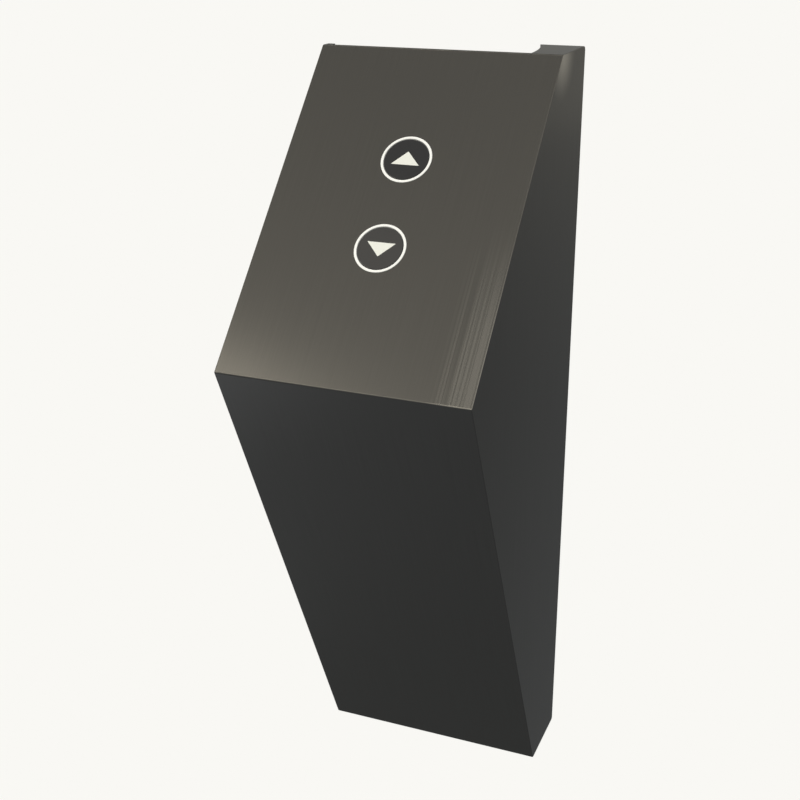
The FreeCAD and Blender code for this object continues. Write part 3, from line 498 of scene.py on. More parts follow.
hairline, tree = emptied(bpy.data.materials, "hairline_bronze_black_stainless")
spot = add(tree, "TexCoord").outputs
point = add(tree, "SeparateXYZ", {0: spot["Object"]}).outputs
facing = add(tree, "SeparateXYZ", {0: spot["Normal"]}).outputs
sideways = add(tree, "Math", {0: facing["X"]}, operation="ABSOLUTE")
cheek = add(tree, "Math", {0: sideways, 1: 0.7}, operation="GREATER_THAN")
across = add(tree, "Mix", {0: cheek, 2: point["X"], 3: point["Y"]}, data_type="FLOAT")
lines = add(tree, "CombineXYZ", {0: across, 1: cheek, 2: point["Z"]})
drawn = []
for per_m, detail, roughness in ((LINES_PER_M, 3.0, 0.6), (STREAKS_PER_M, 2.0, 0.55)):
    scaled = add(tree, "VectorMath", {0: lines, 1: per_m}, operation="MULTIPLY")
    drawn.append(add(tree, "TexNoise", {
        "Vector": scaled, "Scale": 1.0, "Detail": detail, "Roughness": roughness}))
fine, coarse = drawn
corner = add(tree, "VectorMath", {0: spot["Object"], 1: (side_x, -RETURN_DEPTH, top_z)},
             operation="DISTANCE")
fades = []
for value, start, end in (
        (point["X"], *DRESSED_AND_SHEEN_X), (point["Z"], *DRESSED_AND_SHEEN_Z), (facing["Z"], *OUT_OF_FACE),
        (facing["Z"], *UPPER_SIDE), (corner, *CORNER_HIGHLIGHT_REACH)):
    fades.append(add(tree, "MapRange", {0: value, 1: start, 2: end},
                     interpolation_type="SMOOTHSTEP"))
by_seam, by_nose, out_of_face, upper_side, painted_corner_highlight = fades
nose_corner = add(tree, "Math", {0: by_seam, 1: by_nose}, operation="MULTIPLY")
sloping = add(tree, "Math", {0: facing["Z"], 1: 0.3}, operation="GREATER_THAN")
dressed_and_highlit = add(tree, "Math", {0: nose_corner, 1: sloping}, operation="MULTIPLY")
plain = add(tree, "MapRange", {0: fine, 1: 0.25, 2: 0.75, 3: -0.35, 4: 0.35})
# The streaks are grain, but painted lighter on average and lighter still towards the seam: a
# painted highlight
strong = add(tree, "MapRange", {0: coarse, 1: 0.38, 2: 0.62, 3: -1.4, 4: 4.2})
paler = add(tree, "MapRange", {0: point["X"], 1: PALER_X[0], 2: PALER_X[1], 4: 2.2})
strong = add(tree, "Math", {0: strong, 1: paler})
tone = add(tree, "Mix", {0: dressed_and_highlit, 2: plain, 3: strong}, data_type="FLOAT")
share = add(tree, "MapRange", {0: tone, 1: TONES[0], 2: TONES[1]})
colour = add(tree, "Mix", {0: share, 6: srgb("#2C2C2B"), 7: srgb("#545350")}, data_type="RGBA")
# The upper edges are painted lighter, partly scuffing and partly a painted highlight, most near the
# nose corner; the cheek's top corner is painted lighter as a painted highlight
wear_and_sheen = add(tree, "Math", {0: out_of_face, 1: upper_side}, operation="MULTIPLY")
sheen_by_nose = add(tree, "MapRange", {0: nose_corner, 3: 0.35, 4: 1.0})
wear_and_sheen = add(tree, "Math", {0: wear_and_sheen, 1: sheen_by_nose}, operation="MULTIPLY")
painted_corner_highlight = add(tree, "Math", {0: painted_corner_highlight, 1: cheek}, operation="MULTIPLY")
wear_and_sheen = add(tree, "Math", {0: wear_and_sheen, 1: painted_corner_highlight}, operation="MAXIMUM")
# The lighter colour of these painted highlights and scuffed edges
colour = add(tree, "Mix", {0: wear_and_sheen, 6: colour, 7: srgb("#827F78")}, data_type="RGBA")
level = add(tree, "Math", {0: facing["Z"]}, operation="ABSOLUTE")
level = add(tree, "MapRange", {0: level, 1: 0.94, 2: 0.99})
dull = add(tree, "MapRange", {0: tone, 1: TONES[0], 2: TONES[1], 3: 0.42, 4: 0.18})
dull = add(tree, "Mix", {0: level, 2: dull, 3: 0.43}, data_type="FLOAT")
turn = add(tree, "Mix", {0: cheek, 4: (1, 0, 0), 5: (0, 1, 0)}, data_type="VECTOR")
surfaced(tree, colour, dull, {
    "Metallic": 1.0, "Anisotropic": 0.70, "Tangent": turn,
    "Specular Tint": (0.55, 0.55, 0.54, 1.0)}, (fine, 0.15, LINE_DEPTH))

# The inside of the sheet: the same colour without the brushing, so dull and a little uneven.
mill_finish = clouded("mill_finish_bronze_black_stainless", "#3A3935", "#4A4842",
                      (60.0, 4.0, 0.5), (0.5, 0.62), {"Metallic": 1.0})

coat(hood, hairline, mill_finish)
walls = [(corner, (inner[(i + 1) % 5] - corner).orthogonal()) for i, corner in enumerate(inner)]
for polygon in hood.data.polygons:
    probe = polygon.center + polygon.normal * 0.4 * MM
    inside = all((probe.yz - corner).dot(inwards) > 0 for corner, inwards in walls)
    polygon.material_index = 1 if inside and abs(probe.x) < side_x - SHEET else 0
shade(hood)
fit(hood, "station", "hood_steel", "front_hood")


# Light rings
# The white ring round each button is the end of a light guide of opal polycarbonate. It stands
# 0.2 mm proud of the sheet on a square block that the lamps behind it shine into.

RING_DIAMETER = 30.3 * MM
RING_BORE = 27.35 * MM
RING_PROUD = 0.2 * MM
RING_EASE = 0.12 * MM
GUIDE_SIDE = 34.0 * MM
GUIDE_TOP = -2.0 * MM
GUIDE_END = -11.3 * MM
GUIDE_CORNER = 1.0 * MM


def oblong(x, y, corner, steps):
    """The outline of a rectangle about the origin with rounded corners."""
    x, y = x / 2, y / 2
    return rounded([(x, y), (-x, y), (-x, -y), (x, -y)], [corner] * 4, steps)


def finished(made, finish, body, slot, *replaced):
    """Give a piece its one finish and its smooth shading, and fit it."""
    coat(made, finish)
    shade(made)
    fit(made, body, slot, *replaced)


# Opal polycarbonate, injection moulded and lit from behind: an even, slightly warm white.
opal = clouded("opal_polycarbonate", "#F1F4F4", "#F6F9F9", (900.0, 2.0, 0.5), (0.28, 0.36),
               {"IOR": 1.585, "Emission Color": srgb("#FFFFF6"), "Emission Strength": 0.12})
for name, place in buttons.items():
    section = disc(RING_DIAMETER / 2, GUIDE_END + MM, RING_PROUD)
    ring = as_object(f"{name}_ring", turned(rounded(section, [0, 0, RING_EASE, 0], 4)), place)
    block = extruded(oblong(GUIDE_SIDE, GUIDE_SIDE, GUIDE_CORNER, 4), GUIDE_END, GUIDE_TOP)
    combine(ring, "UNION", (block, place))
    radius = RING_BORE / 2
    flare = [(radius + out * RING_EASE, RING_PROUD - down * RING_EASE)
             for out, down in ((0, 1), (0.3, 0.3), (1, 0))]
    bore = turned([(0, GUIDE_END - MM), (radius, GUIDE_END - MM), *flare,
                   (radius + RING_EASE, RING_PROUD + MM), (0, RING_PROUD + MM)])
    combine(ring, "DIFFERENCE", (bore, place))
    finished(ring, opal, "station", "opal_ring", f"{name}_light_ring")


# Caps and arrows
# Each cap is a thick disc of polished black acrylic with a milled pocket, and a white arrow is
# pressed into the pocket until it is flush. Cap, arrow, stem, clip and plunger move together.

CAP_DIAMETER = 26.6 * MM
CAP_TOP = 0.1 * MM
CAP_UNDERSIDE = -4.4 * MM
CAP_EASE = 0.25 * MM
ARROW_WIDTH = 17.0 * MM
ARROW_TIP = 5.2 * MM
ARROW_BASE = -3.6 * MM
ARROW_DEPTH = 0.8 * MM
ARROW_CORNER = 0.12 * MM
POCKET_GAP = 0.04 * MM


def arrow_outline(sense, gap):
    """A flat arrowhead, up the face for 1 and down it for -1, grown by a gap."""
    half = ARROW_WIDTH / 2 + 3 * gap
    tip = ARROW_TIP + 1.5 * gap
    base = ARROW_BASE - gap
    points = [(-half, sense * base), (half, sense * base), (0, sense * tip)]
    return rounded(points, [ARROW_CORNER] * 3, 4)


# Polished black acrylic: almost no colour of its own, so it shows the room as a soft grey sheen.
acrylic_black = clouded("polished_black_acrylic", "#0A0A0B", "#0F0F10", (350.0, 3.0, 0.5),
                        (0.08, 0.11), {"IOR": 1.47})
# The arrow is moulded from a warm white acrylic and left with a fine satin surface.
acrylic_white = clouded("satin_white_acrylic", "#F2F6F1", "#F7FBF6", (1200.0, 2.0, 0.5),
                        (0.32, 0.42), {"IOR": 1.49})
for name, sense in (("up", 1), ("down", -1)):
    place = buttons[name]
    section = disc(CAP_DIAMETER / 2, CAP_UNDERSIDE, CAP_TOP)
    cap = turned(rounded(section, [0, CAP_EASE, CAP_EASE, 0], 5))
    cap = as_object(f"{name}_button_cap", cap, place)
    pocket = extruded(arrow_outline(sense, POCKET_GAP), CAP_TOP - ARROW_DEPTH, CAP_TOP + MM)
    combine(cap, "DIFFERENCE", (pocket, place))
    finished(cap, acrylic_black, f"{name}_button", "cap_black", f"{name}_cap")
    arrow = extruded(arrow_outline(sense, 0.0), CAP_TOP - ARROW_DEPTH, CAP_TOP)
    arrow = as_object(f"{name}_button_arrow", arrow, place)
    finished(arrow, acrylic_white, f"{name}_button", "arrow_white", f"{name}_arrow")


# Stems, clips and seals
# Behind each cap a square acetal stem slides in the housing's post, and a forked steel clip in its
# groove stops it from coming out. A flat silicone frame seals the light guide to the sheet.


# Acetal and the other mouldings have the fine even texture that a spark-eroded tool leaves. It is
# drawn at twice its real size so that it shows.
def moulded_plastic(name, dark, light, dullness, grain):
    return clouded(name, dark, light, (110.0, 4.0, 0.6), (dullness - 0.06, dullness + 0.06),
                   {"IOR": 1.50}, grain)


# Drawn, turned or stamped metal: bright, with fine tool marks that break up its shine.
def worked_metal(name, dark, light, dullness, marks):
    material, tree = emptied(bpy.data.materials, name)
    spot = add(tree, "TexCoord").outputs["Object"]
    cloud = add(tree, "TexNoise", {"Vector": spot, "Scale": 90.0, "Detail": 5.0})
    fine = add(tree, "TexNoise", {"Vector": spot, "Scale": 1 / marks, "Detail": 2.0})
    surfaced(tree, (cloud, dark, light), (fine, dullness - 0.08, dullness + 0.08),
             {"Metallic": 1.0}, (fine, 0.2, marks / 10))
    return material


def eased(made, width, sharp_over):
    """Break a piece's sharp edges."""
    step = made.modifiers.new("ease", "BEVEL")
    step.width = width
    step.segments = 2
    step.limit_method = "ANGLE"
    step.angle_limit = math.radians(sharp_over)
    plain_mesh(made)


def refined(node, name, slot, finish, ease):
    """A copy of a node's solid with its facets merged and its sharp edges broken."""
    bm = bmesh.new()
    bm.from_mesh(nodes[node].data)
    bmesh.ops.remove_doubles(bm, verts=bm.verts, dist=1e-6)
    bmesh.ops.dissolve_limit(bm, angle_limit=math.radians(1), verts=bm.verts, edges=bm.edges)
    made = as_object(name, bm)
    eased(made, ease, 40.0)
    finished(made, finish, nodes[node]["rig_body"], slot, node)


acetal = moulded_plastic("moulded_acetal", "#E4E3DC", "#EEEDE6", 0.42, 0.4 * MM)
spring_steel = worked_metal("phosphated_spring_steel", "#8E8F90", "#B4B5B5", 0.34, 0.15 * MM)
# Silicone sheet, die cut: grey, a little cloudy, and it passes some light.
silicone = clouded("die_cut_silicone", "#9A9C9B", "#ABADAB", (200.0, 3.0, 0.5), (0.38, 0.52),
                   {"IOR": 1.41, "Subsurface Weight": 0.3,
                    "Subsurface Radius": (2 * MM, 2 * MM, 2 * MM)})
for name in buttons:
    refined(f"{name}_stem", f"{name}_button_stem", "stem_white", acetal, 0.20 * MM)
    refined(f"{name}_clip", f"{name}_stem_clip", "spring_steel", spring_steel, 0.08 * MM)
    refined(f"{name}_seal", f"{name}_ring_seal", "silicone", silicone, 0.06 * MM)


# Return springs
# A compression spring of 0.8 mm wire stands round each post, from the housing's floor to the cap.
# Its end coils are closed, so they lie flat.

SPRING_MEAN = 14.4 * MM
SPRING_WIRE = 0.8 * MM
SPRING_COILS = 4.5
SPRING_FOOT = -13.95 * MM
SPRING_HEAD = -4.45 * MM


def shape_tree(name, sizes):
    """A new geometry tree with a named input for each size, and the sockets that give them."""
    tree = bpy.data.node_groups.new(name, "GeometryNodeTree")
    tree.interface.new_socket("Geometry", in_out="INPUT", socket_type="NodeSocketGeometry")
    for size, kind in sizes.items():
        tree.interface.new_socket(size, in_out="INPUT", socket_type=f"NodeSocket{kind}")
    tree.interface.new_socket("Geometry", in_out="OUTPUT", socket_type="NodeSocketGeometry")
    return tree, add(tree, "NodeGroupInput").outputs


def close_tree(tree, given, shape):
    """End a geometry tree: its copies made real, and its finish set."""
    real = add(tree, "GeometryNodeRealizeInstances", {"Geometry": shape})
    coated = add(tree, "GeometryNodeSetMaterial", {"Geometry": real, "Material": given["Finish"]})
    add(tree, "NodeGroupOutput", {0: coated})


def stand_at_points(tree, given, shape):
    """End a geometry tree: its shape on every point, turned as the point says."""
    turn = add(tree, "GeometryNodeInputNamedAttribute", {"Name": "turn"}, data_type="FLOAT_VECTOR")
    copies = add(tree, "GeometryNodeInstanceOnPoints", {
        "Points": given["Geometry"], "Instance": shape, "Rotation": turn})
    close_tree(tree, given, copies)


def grown(name, base, tree, values, slot, *replaced):
    """A piece of the station: the plain mesh that a tree makes on points or along a line."""
    carrier = linked("carrier", base)
    step = carrier.modifiers.new("shape", "NODES")
    step.node_group = tree
    for socket in tree.interface.items_tree:
        if socket.in_out == "INPUT" and socket.name in values:
            step[socket.identifier] = values[socket.name]
    mesh = worked_out(carrier)
    bpy.data.objects.remove(carrier)
    mesh.name = name
    made = linked(name, mesh)
    shade(made)
    fit(made, "station", slot, *replaced)
    return made


def repeated(name, tree, places, values, slot, *replaced):
    """One piece of what a tree makes at each place."""
    points = bpy.data.meshes.new("points")
    points.from_pydata([place.translation for place in places], [], [])
    turns = points.attributes.new("turn", "FLOAT_VECTOR", "POINT")
    for item, place in zip(turns.data, places):
        item.vector = place.to_euler()
    made = grown(name, points, tree, values, slot, *replaced)
    bpy.data.meshes.remove(points)
    return made


tree, given = shape_tree("coil_spring", {
    "Mean Radius": "Float", "Wire Radius": "Float", "Coils": "Float", "Length": "Float",
    "Finish": "Material"})
coil = add(tree, "GeometryNodeCurveSpiral", {
    "Resolution": 40, "Rotations": given["Coils"], "Start Radius": given["Mean Radius"],
    "End Radius": given["Mean Radius"], "Height": 0.0})
along = add(tree, "GeometryNodeSplineParameter")
rise = add(tree, "MapRange", {0: along, 4: given["Length"]}, interpolation_type="SMOOTHSTEP")
rise = add(tree, "CombineXYZ", {2: rise})
coil = add(tree, "GeometryNodeSetPosition", {"Geometry": coil, "Offset": rise})
section = add(tree, "GeometryNodeCurvePrimitiveCircle", {
    "Resolution": 14, "Radius": given["Wire Radius"]})
wire = add(tree, "GeometryNodeCurveToMesh", {
    "Curve": coil, "Profile Curve": section, "Fill Caps": True})
stand_at_points(tree, given, wire)
spring_tree = tree

spring_length = SPRING_HEAD - SPRING_FOOT
for name, place in buttons.items():
    foot = place @ at((0, 0, SPRING_FOOT + SPRING_WIRE / 2))
    spring = repeated(f"{name}_return_spring", spring_tree, [foot], {
        "Mean Radius": SPRING_MEAN / 2, "Wire Radius": SPRING_WIRE / 2, "Coils": SPRING_COILS,
        "Length": spring_length - SPRING_WIRE, "Finish": spring_steel},
        "spring_steel", f"{name}_spring")
    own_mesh(spring)


# Housings
# Each button's body is moulded in black glass-filled nylon: a flange with two ears that is clamped
# to the back of the sheet, a square well for the light guide, and a cup that closes it behind.

glass_nylon = moulded_plastic("glass_filled_nylon", "#1B1B1B", "#292928", 0.56, 0.5 * MM)
for name in buttons:
    for node, piece in (("housing", "button_housing"), ("rear_cover", "housing_cover")):
        refined(f"{name}_{node}", f"{name}_{piece}", "black_moulding", glass_nylon, 0.35 * MM)


# Lamp boards
# A small square laminate on the floor of each well carries eight white lamps in a ring, right under
# the light guide. Its window lets the spring stand on the floor.

LAMP_COUNT = 8
LAMP_RADIUS = 14.325 * MM
LAMP_SIDE = 1.4 * MM
LAMP_HEIGHT = 0.8 * MM
LAMP_EASE = 0.15 * MM
LAMP_BOARD_TOP = -12.4 * MM
LAMP_EYE = 1.0 * MM
EYE_PROUD = 0.02 * MM
TRACK_PITCH = 1.3 * MM
TRACK_LENGTH = 6.6 * MM
TRACK_WIDTH = 0.22 * MM
BOARD_EASE = 0.05 * MM


# Glass-epoxy laminate under a glossy green solder mask. The copper beneath it shows as paler
# tracks, about 1.3 mm apart.
def laminate(name, turn):
    material, tree = emptied(bpy.data.materials, name)
    spot = add(tree, "TexCoord").outputs["Object"]
    flat = add(tree, "Mapping", {"Vector": spot, "Rotation": turn})
    tracks = add(tree, "TexBrick", {
        "Vector": flat, "Color1": srgb("#0F5A33"), "Color2": srgb("#116239"),
        "Mortar": srgb("#2A8A56"), "Scale": 1.0, "Mortar Size": TRACK_WIDTH,
        "Mortar Smooth": 0.1, "Brick Width": TRACK_LENGTH, "Row Height": TRACK_PITCH})
    cloud = add(tree, "TexNoise", {"Vector": flat, "Scale": 400.0, "Detail": 2.0})
    surfaced(tree, tracks, (cloud, 0.22, 0.34), {"IOR": 1.53},
             (tracks.outputs["Fac"], 0.5, 0.03 * MM))
    return material


tree, given = shape_tree("copies_of_one_shape", {"Shape": "Object", "Finish": "Material"})
shape = add(tree, "GeometryNodeObjectInfo", {"Object": given["Shape"]})
stand_at_points(tree, given, shape.outputs["Geometry"])
copies_tree = tree


def copies_of(shape, name, places, finish, slot, *replaced):
    """One piece of a shape at each place. The shape itself is then removed."""
    repeated(name, copies_tree, places, {"Shape": shape, "Finish": finish}, slot, *replaced)
    discard(shape)


def brick(x, y, high, ease):
    """A small block that stands on z=0, with its upright edges rounded and its top edge eased."""
    bm = extruded(oblong(x, y, ease, 3), 0, high)
    rim = [e for e in bm.edges if min(v.co.z for v in e.verts) > high - 1e-7]
    bmesh.ops.bevel(bm, geom=rim, offset=ease * 0.7, segments=2, profile=0.5, affect="EDGES")
    return as_object("brick", bm)


# The lamp's case is moulded in white reflective plastic, and the phosphor in its eye is yellow.
lamp_case = moulded_plastic("reflector_polyamide", "#E9E7DE", "#F3F1EA", 0.40, 0.3 * MM)
phosphor = moulded_plastic("phosphor_in_silicone", "#DCC45A", "#E8D472", 0.30, 0.2 * MM)
for name, place in buttons.items():
    refined(f"{name}_led_board", f"{name}_lamp_board", "board_green",
            laminate(f"{name}_lamp_laminate", place.inverted().to_euler()), BOARD_EASE)
    spots = []
    for i in range(LAMP_COUNT):
        turn = Matrix.Rotation(2 * math.pi * i / LAMP_COUNT, 4, "Z")
        spots.append(place @ turn @ at((LAMP_RADIUS, 0, LAMP_BOARD_TOP)))
    case_top = LAMP_HEIGHT - EYE_PROUD
    case = brick(LAMP_SIDE, LAMP_SIDE, case_top, LAMP_EASE)
    copies_of(case, f"{name}_lamp_cases", spots, lamp_case, "led_white", f"{name}_leds")
    eye = turned([(0, LAMP_HEIGHT / 2), (LAMP_EYE / 2, LAMP_HEIGHT / 2), (LAMP_EYE / 2, case_top),
                  (LAMP_EYE / 4, LAMP_HEIGHT), (0, LAMP_HEIGHT)], 24)
    copies_of(as_object("eye", eye), f"{name}_lamp_eyes", spots, phosphor, "led_white")


# Switches
# Under each stem a sealed push switch stands on its own laminate, with a square red plunger. The
# lead's socket is soldered behind it.

switch_body = moulded_plastic("moulded_polyester_black", "#1F1F20", "#2B2B2C", 0.48, 0.4 * MM)
switch_red = moulded_plastic("moulded_polyester_red", "#A81E17", "#B82A20", 0.44, 0.4 * MM)
natural_nylon = moulded_plastic("natural_nylon", "#DAD6C6", "#E6E2D4", 0.46, 0.4 * MM)
for name, place in buttons.items():
    refined(f"{name}_switch", f"{name}_push_switch", "switch_black", switch_body, 0.25 * MM)
    refined(f"{name}_plunger", f"{name}_switch_plunger", "plunger_red", switch_red, 0.20 * MM)
    refined(f"{name}_switch_board", f"{name}_switch_laminate", "board_green",
            laminate(f"{name}_switch_laminate", place.inverted().to_euler()), BOARD_EASE)
    refined(f"{name}_socket", f"{name}_lead_socket", "nylon", natural_nylon, 0.15 * MM)


# Button studs and nuts
# Two M3 studs beside each button are welded to the back of the sheet before it is coloured, and
# hexagon nuts on them clamp the housing's ears.

STUD_DIAMETER = 3.0 * MM
STUD_PITCH = 0.5 * MM
STUD_LENGTH = 8.0 * MM
STUD_OFFSET = 23.0 * MM
STUD_NUT_KEY = 5.5 * MM
STUD_NUT_HEIGHT = 2.4 * MM
STUD_NUT_SEAT = -5.0 * MM
THREAD_GAP = 0.05 * MM
CREST_SHARE = 0.42
ROOT_SHARE = 0.55
NUT_FACE_SHARE = 0.48
SINK_SHARE = 0.12
STRAIGHT_FLARE = ((1, 0), (0, 1))

# A plain core with one round ridge wound on it, whose crest and root are shares of the pitch.
tree, given = shape_tree("threaded_rod", {
    "Radius": "Float", "Pitch": "Float", "Length": "Float", "Finish": "Material"})
crest = add(tree, "Math", {0: given["Pitch"], 1: CREST_SHARE}, operation="MULTIPLY")
path_radius = add(tree, "Math", {0: given["Radius"], 1: crest}, operation="SUBTRACT")
run = add(tree, "Math", {0: given["Length"], 1: given["Pitch"]}, operation="SUBTRACT")
turns = add(tree, "Math", {0: run, 1: given["Pitch"]}, operation="DIVIDE")
helix = add(tree, "GeometryNodeCurveSpiral", {
    "Resolution": 20, "Rotations": turns, "Start Radius": path_radius, "End Radius": path_radius,
    "Height": run})
section = add(tree, "GeometryNodeCurvePrimitiveCircle", {"Resolution": 6, "Radius": crest})
ridge = add(tree, "GeometryNodeCurveToMesh", {
    "Curve": helix, "Profile Curve": section, "Fill Caps": True})
root = add(tree, "Math", {0: given["Pitch"], 1: -ROOT_SHARE, 2: given["Radius"]},
           operation="MULTIPLY_ADD")
core = add(tree, "GeometryNodeMeshCylinder", {
    "Vertices": 28, "Radius": root, "Depth": given["Length"]})
lifted = []
for form, size in ((ridge, "Pitch"), (core, "Length")):
    half = add(tree, "Math", {0: given[size], 1: 0.5}, operation="MULTIPLY")
    half = add(tree, "CombineXYZ", {2: half})
    lifted.append(add(tree, "GeometryNodeTransform", {"Geometry": form, "Translation": half}))
rod = add(tree, "GeometryNodeJoinGeometry", {0: lifted[0]})
tree.links.new(lifted[1].outputs[0], rod.inputs[0])
stand_at_points(tree, given, rod)
thread_tree = tree


def bored(made, radius, length, ease, flare, segments, place=None):
    """Cut a round way through a piece along Z, with a flare of (out, in) shares at both ends."""
    near = [(radius + out * ease, inwards * ease) for out, inwards in flare]
    far = [(r, length - z) for r, z in reversed(near)]
    way = turned([(0, -MM), (near[0][0], -MM), *near, *far, (near[0][0], length + MM),
                  (0, length + MM)], segments)
    combine(made, "DIFFERENCE", (way, place))


def hexagon(key):
    """The outline of a hexagon, by its width across the flats."""
    corner = key / math.sqrt(3)
    return [(corner * math.cos(math.pi * i / 3), corner * math.sin(math.pi * i / 3))
            for i in range(6)]


def hexagon_nut(key, hole, height):
    """A hexagon nut that stands on z=0, with chamfered corners and a countersunk hole."""
    corner = key / math.sqrt(3)
    face = NUT_FACE_SHARE * key
    drop = (corner - face) * math.tan(math.radians(30))
    nut = as_object("nut", extruded(hexagon(key), 0, height))
    barrel = turned([(0, 0), (face, 0), (corner, drop), (corner, height - drop), (face, height),
                     (0, height)], 48)
    combine(nut, "INTERSECT", (barrel, None))
    bored(nut, hole / 2, height, SINK_SHARE * hole, STRAIGHT_FLARE, 36)
    return nut


stainless = worked_metal("plain_stainless_steel", "#A9A9A6", "#C6C6C2", 0.30, 0.15 * MM)
zinc = worked_metal("zinc_plated_steel", "#A7A9A6", "#C9C8C0", 0.36, 0.2 * MM)
studs = []
seats = []
for place in buttons.values():
    for y in (-STUD_OFFSET, STUD_OFFSET):
        studs.append(place @ at((0, y, -SHEET - STUD_LENGTH)))
        seats.append(place @ at((0, y, STUD_NUT_SEAT - STUD_NUT_HEIGHT)))
repeated("housing_studs", thread_tree, studs, {
    "Radius": STUD_DIAMETER / 2, "Pitch": STUD_PITCH, "Length": STUD_LENGTH, "Finish": stainless},
    "stainless_fastener", "button_studs")
nut = hexagon_nut(STUD_NUT_KEY, STUD_DIAMETER + 2 * THREAD_GAP, STUD_NUT_HEIGHT)
copies_of(nut, "housing_nuts", seats, zinc, "zinc_fastener", "stud_nuts")


# Button leads
# Four thin wires in one braided polyester sleeve run from the socket behind each button to the
# controller board, held by a plug at both ends.

LEAD_RADIUS = 1.9 * MM
BRAID_PITCH = 2.5 * MM
BRAID_ENDS = 3.0
# The points that the lead's line follows, in millimetres
LEAD_ROUTES = {
    "up": ((0.0, -72.6, 157.7), (0.0, -47.8, 134.4), (-11.0, -25.7, 92.2), (-22.0, -17.6, 50.0),
           (-22.0, -17.6, 20.0)),
    "down": ((0.0, -111.9, 115.8), (0.0, -87.1, 92.5), (11.0, -45.4, 71.2), (22.0, -17.6, 50.0),
             (22.0, -17.6, 20.0)),
}

# Braided polyester: two sets of flat strands cross each other, dark grey and slightly glossy.
braid, tree = emptied(bpy.data.materials, "braided_polyester_sleeve")
along = add(tree, "Attribute", attribute_name="along").outputs["Fac"]
around = add(tree, "Attribute", attribute_name="around").outputs["Fac"]
steps = add(tree, "Math", {0: along, 1: 1 / BRAID_PITCH}, operation="MULTIPLY")
one_way = add(tree, "Math", {0: around, 1: BRAID_ENDS, 2: steps}, operation="MULTIPLY_ADD")
other_way = add(tree, "Math", {0: around, 1: -BRAID_ENDS, 2: steps}, operation="MULTIPLY_ADD")
both = add(tree, "CombineXYZ", {0: one_way, 1: other_way, 2: 0.5})
strands = add(tree, "TexChecker", {"Vector": both, "Scale": 2.0}).outputs["Fac"]
surfaced(tree, (strands, "#434347", "#2B2B2D"), (strands, 0.45, 0.45), {"IOR": 1.58},
         (strands, 0.6, 0.1 * MM))

tree, given = shape_tree("braided_sleeve", {"Radius": "Float", "Finish": "Material"})
route = add(tree, "GeometryNodeResampleCurve", {"Curve": given["Geometry"], "Count": 120})
along = add(tree, "GeometryNodeSplineParameter").outputs["Length"]
route = add(tree, "GeometryNodeStoreNamedAttribute", {
    "Geometry": route, "Name": "along", "Value": along}, data_type="FLOAT", domain="POINT")
section = add(tree, "GeometryNodeCurvePrimitiveCircle", {
    "Resolution": 24, "Radius": given["Radius"]})
around = add(tree, "GeometryNodeSplineParameter")
around = add(tree, "Math", {0: around, 1: 2.0, 2: -1.0}, operation="MULTIPLY_ADD")
around = add(tree, "Math", {0: around}, operation="ABSOLUTE")
section = add(tree, "GeometryNodeStoreNamedAttribute", {
    "Geometry": section, "Name": "around", "Value": around}, data_type="FLOAT", domain="POINT")
sleeve = add(tree, "GeometryNodeCurveToMesh", {
    "Curve": route, "Profile Curve": section, "Fill Caps": True})
close_tree(tree, given, sleeve)
sleeve_tree = tree

for name, route in LEAD_ROUTES.items():
    line = bpy.data.curves.new("lead_line", "CURVE")
    line.dimensions = "3D"
    line.resolution_u = 16
    spline = line.splines.new("NURBS")
    spline.points.add(len(route) - 1)
    for point, (x, y, z) in zip(spline.points, route):
        point.co = (x * MM, y * MM, z * MM, 1.0)
    spline.order_u = 3
    spline.use_endpoint_u = True
    grown(f"{name}_button_lead", line, sleeve_tree, {"Radius": LEAD_RADIUS, "Finish": braid},
          "lead_sleeve", f"{name}_lead")
    bpy.data.curves.remove(line)
refined("lead_plugs", "button_lead_plugs", "nylon", natural_nylon, 0.15 * MM)


# Wall plate
# A flat sheet of hot-dip galvanised steel is screwed to the wall. Two flat bars on edge, a top rail
# and a screw shelf are welded to it, and a soft foam gasket lies behind it.

CRYSTALS_PER_M = 125.0
CRYSTAL_BENDS_PER_M = 160.0
CRYSTAL_PUSH = (4 * MM, 4 * MM, 4 * MM)
CELLS_PER_M = 830.0
CELL_DEPTH = 0.4 * MM

# Hot-dip galvanised steel: the zinc freezes in crystals about 8 mm across, some duller than others.
galvanised, tree = emptied(bpy.data.materials, "hot_dip_galvanised_steel")
spot = add(tree, "TexCoord").outputs["Object"]
bend = add(tree, "TexNoise", {"Vector": spot, "Scale": CRYSTAL_BENDS_PER_M, "Detail": 3.0})
push = add(tree, "VectorMath", {0: bend.outputs["Color"], 1: CRYSTAL_PUSH, 2: spot},
           operation="MULTIPLY_ADD")
crystal = add(tree, "TexVoronoi", {"Vector": push, "Scale": CRYSTALS_PER_M})
tone = add(tree, "SeparateColor", {0: crystal.outputs["Color"]})
surfaced(tree, (tone, "#A3A7AA", "#C3C6C8"), (tone.outputs[1], 0.34, 0.56), {"Metallic": 1.0})

# Closed-cell foam rubber, die cut: matt black, with bubbles about 0.6 mm across, drawn at 1.2 mm.
foam, tree = emptied(bpy.data.materials, "closed_cell_foam_rubber")
spot = add(tree, "TexCoord").outputs["Object"]
cells = add(tree, "TexVoronoi", {"Vector": spot, "Scale": CELLS_PER_M})
depth = add(tree, "MapRange", {0: cells, 1: 0.0, 2: 0.6})
# The hollows of the bubbles are painted darker: a painted shade
surfaced(tree, (depth, "#161616", "#2C2C2B"), (depth, 0.95, 0.82), {}, (depth, 0.8, CELL_DEPTH))

for node, name in (("wall_plate", "mounting_plate"), ("side_rails", "hanging_rails"),
                   ("top_rail", "plate_top_rail"), ("screw_shelf", "plate_screw_shelf")):
    refined(node, name, "galvanised_steel", galvanised, 0.25 * MM)
refined("wall_gasket", "foam_gasket", "foam", foam, 0.30 * MM)


# Hood fixings
# Two turned stainless pins inside the cheeks hang in the rails' slots, and two security screws come
# up through the bottom return into square nuts that are welded to the shelf.

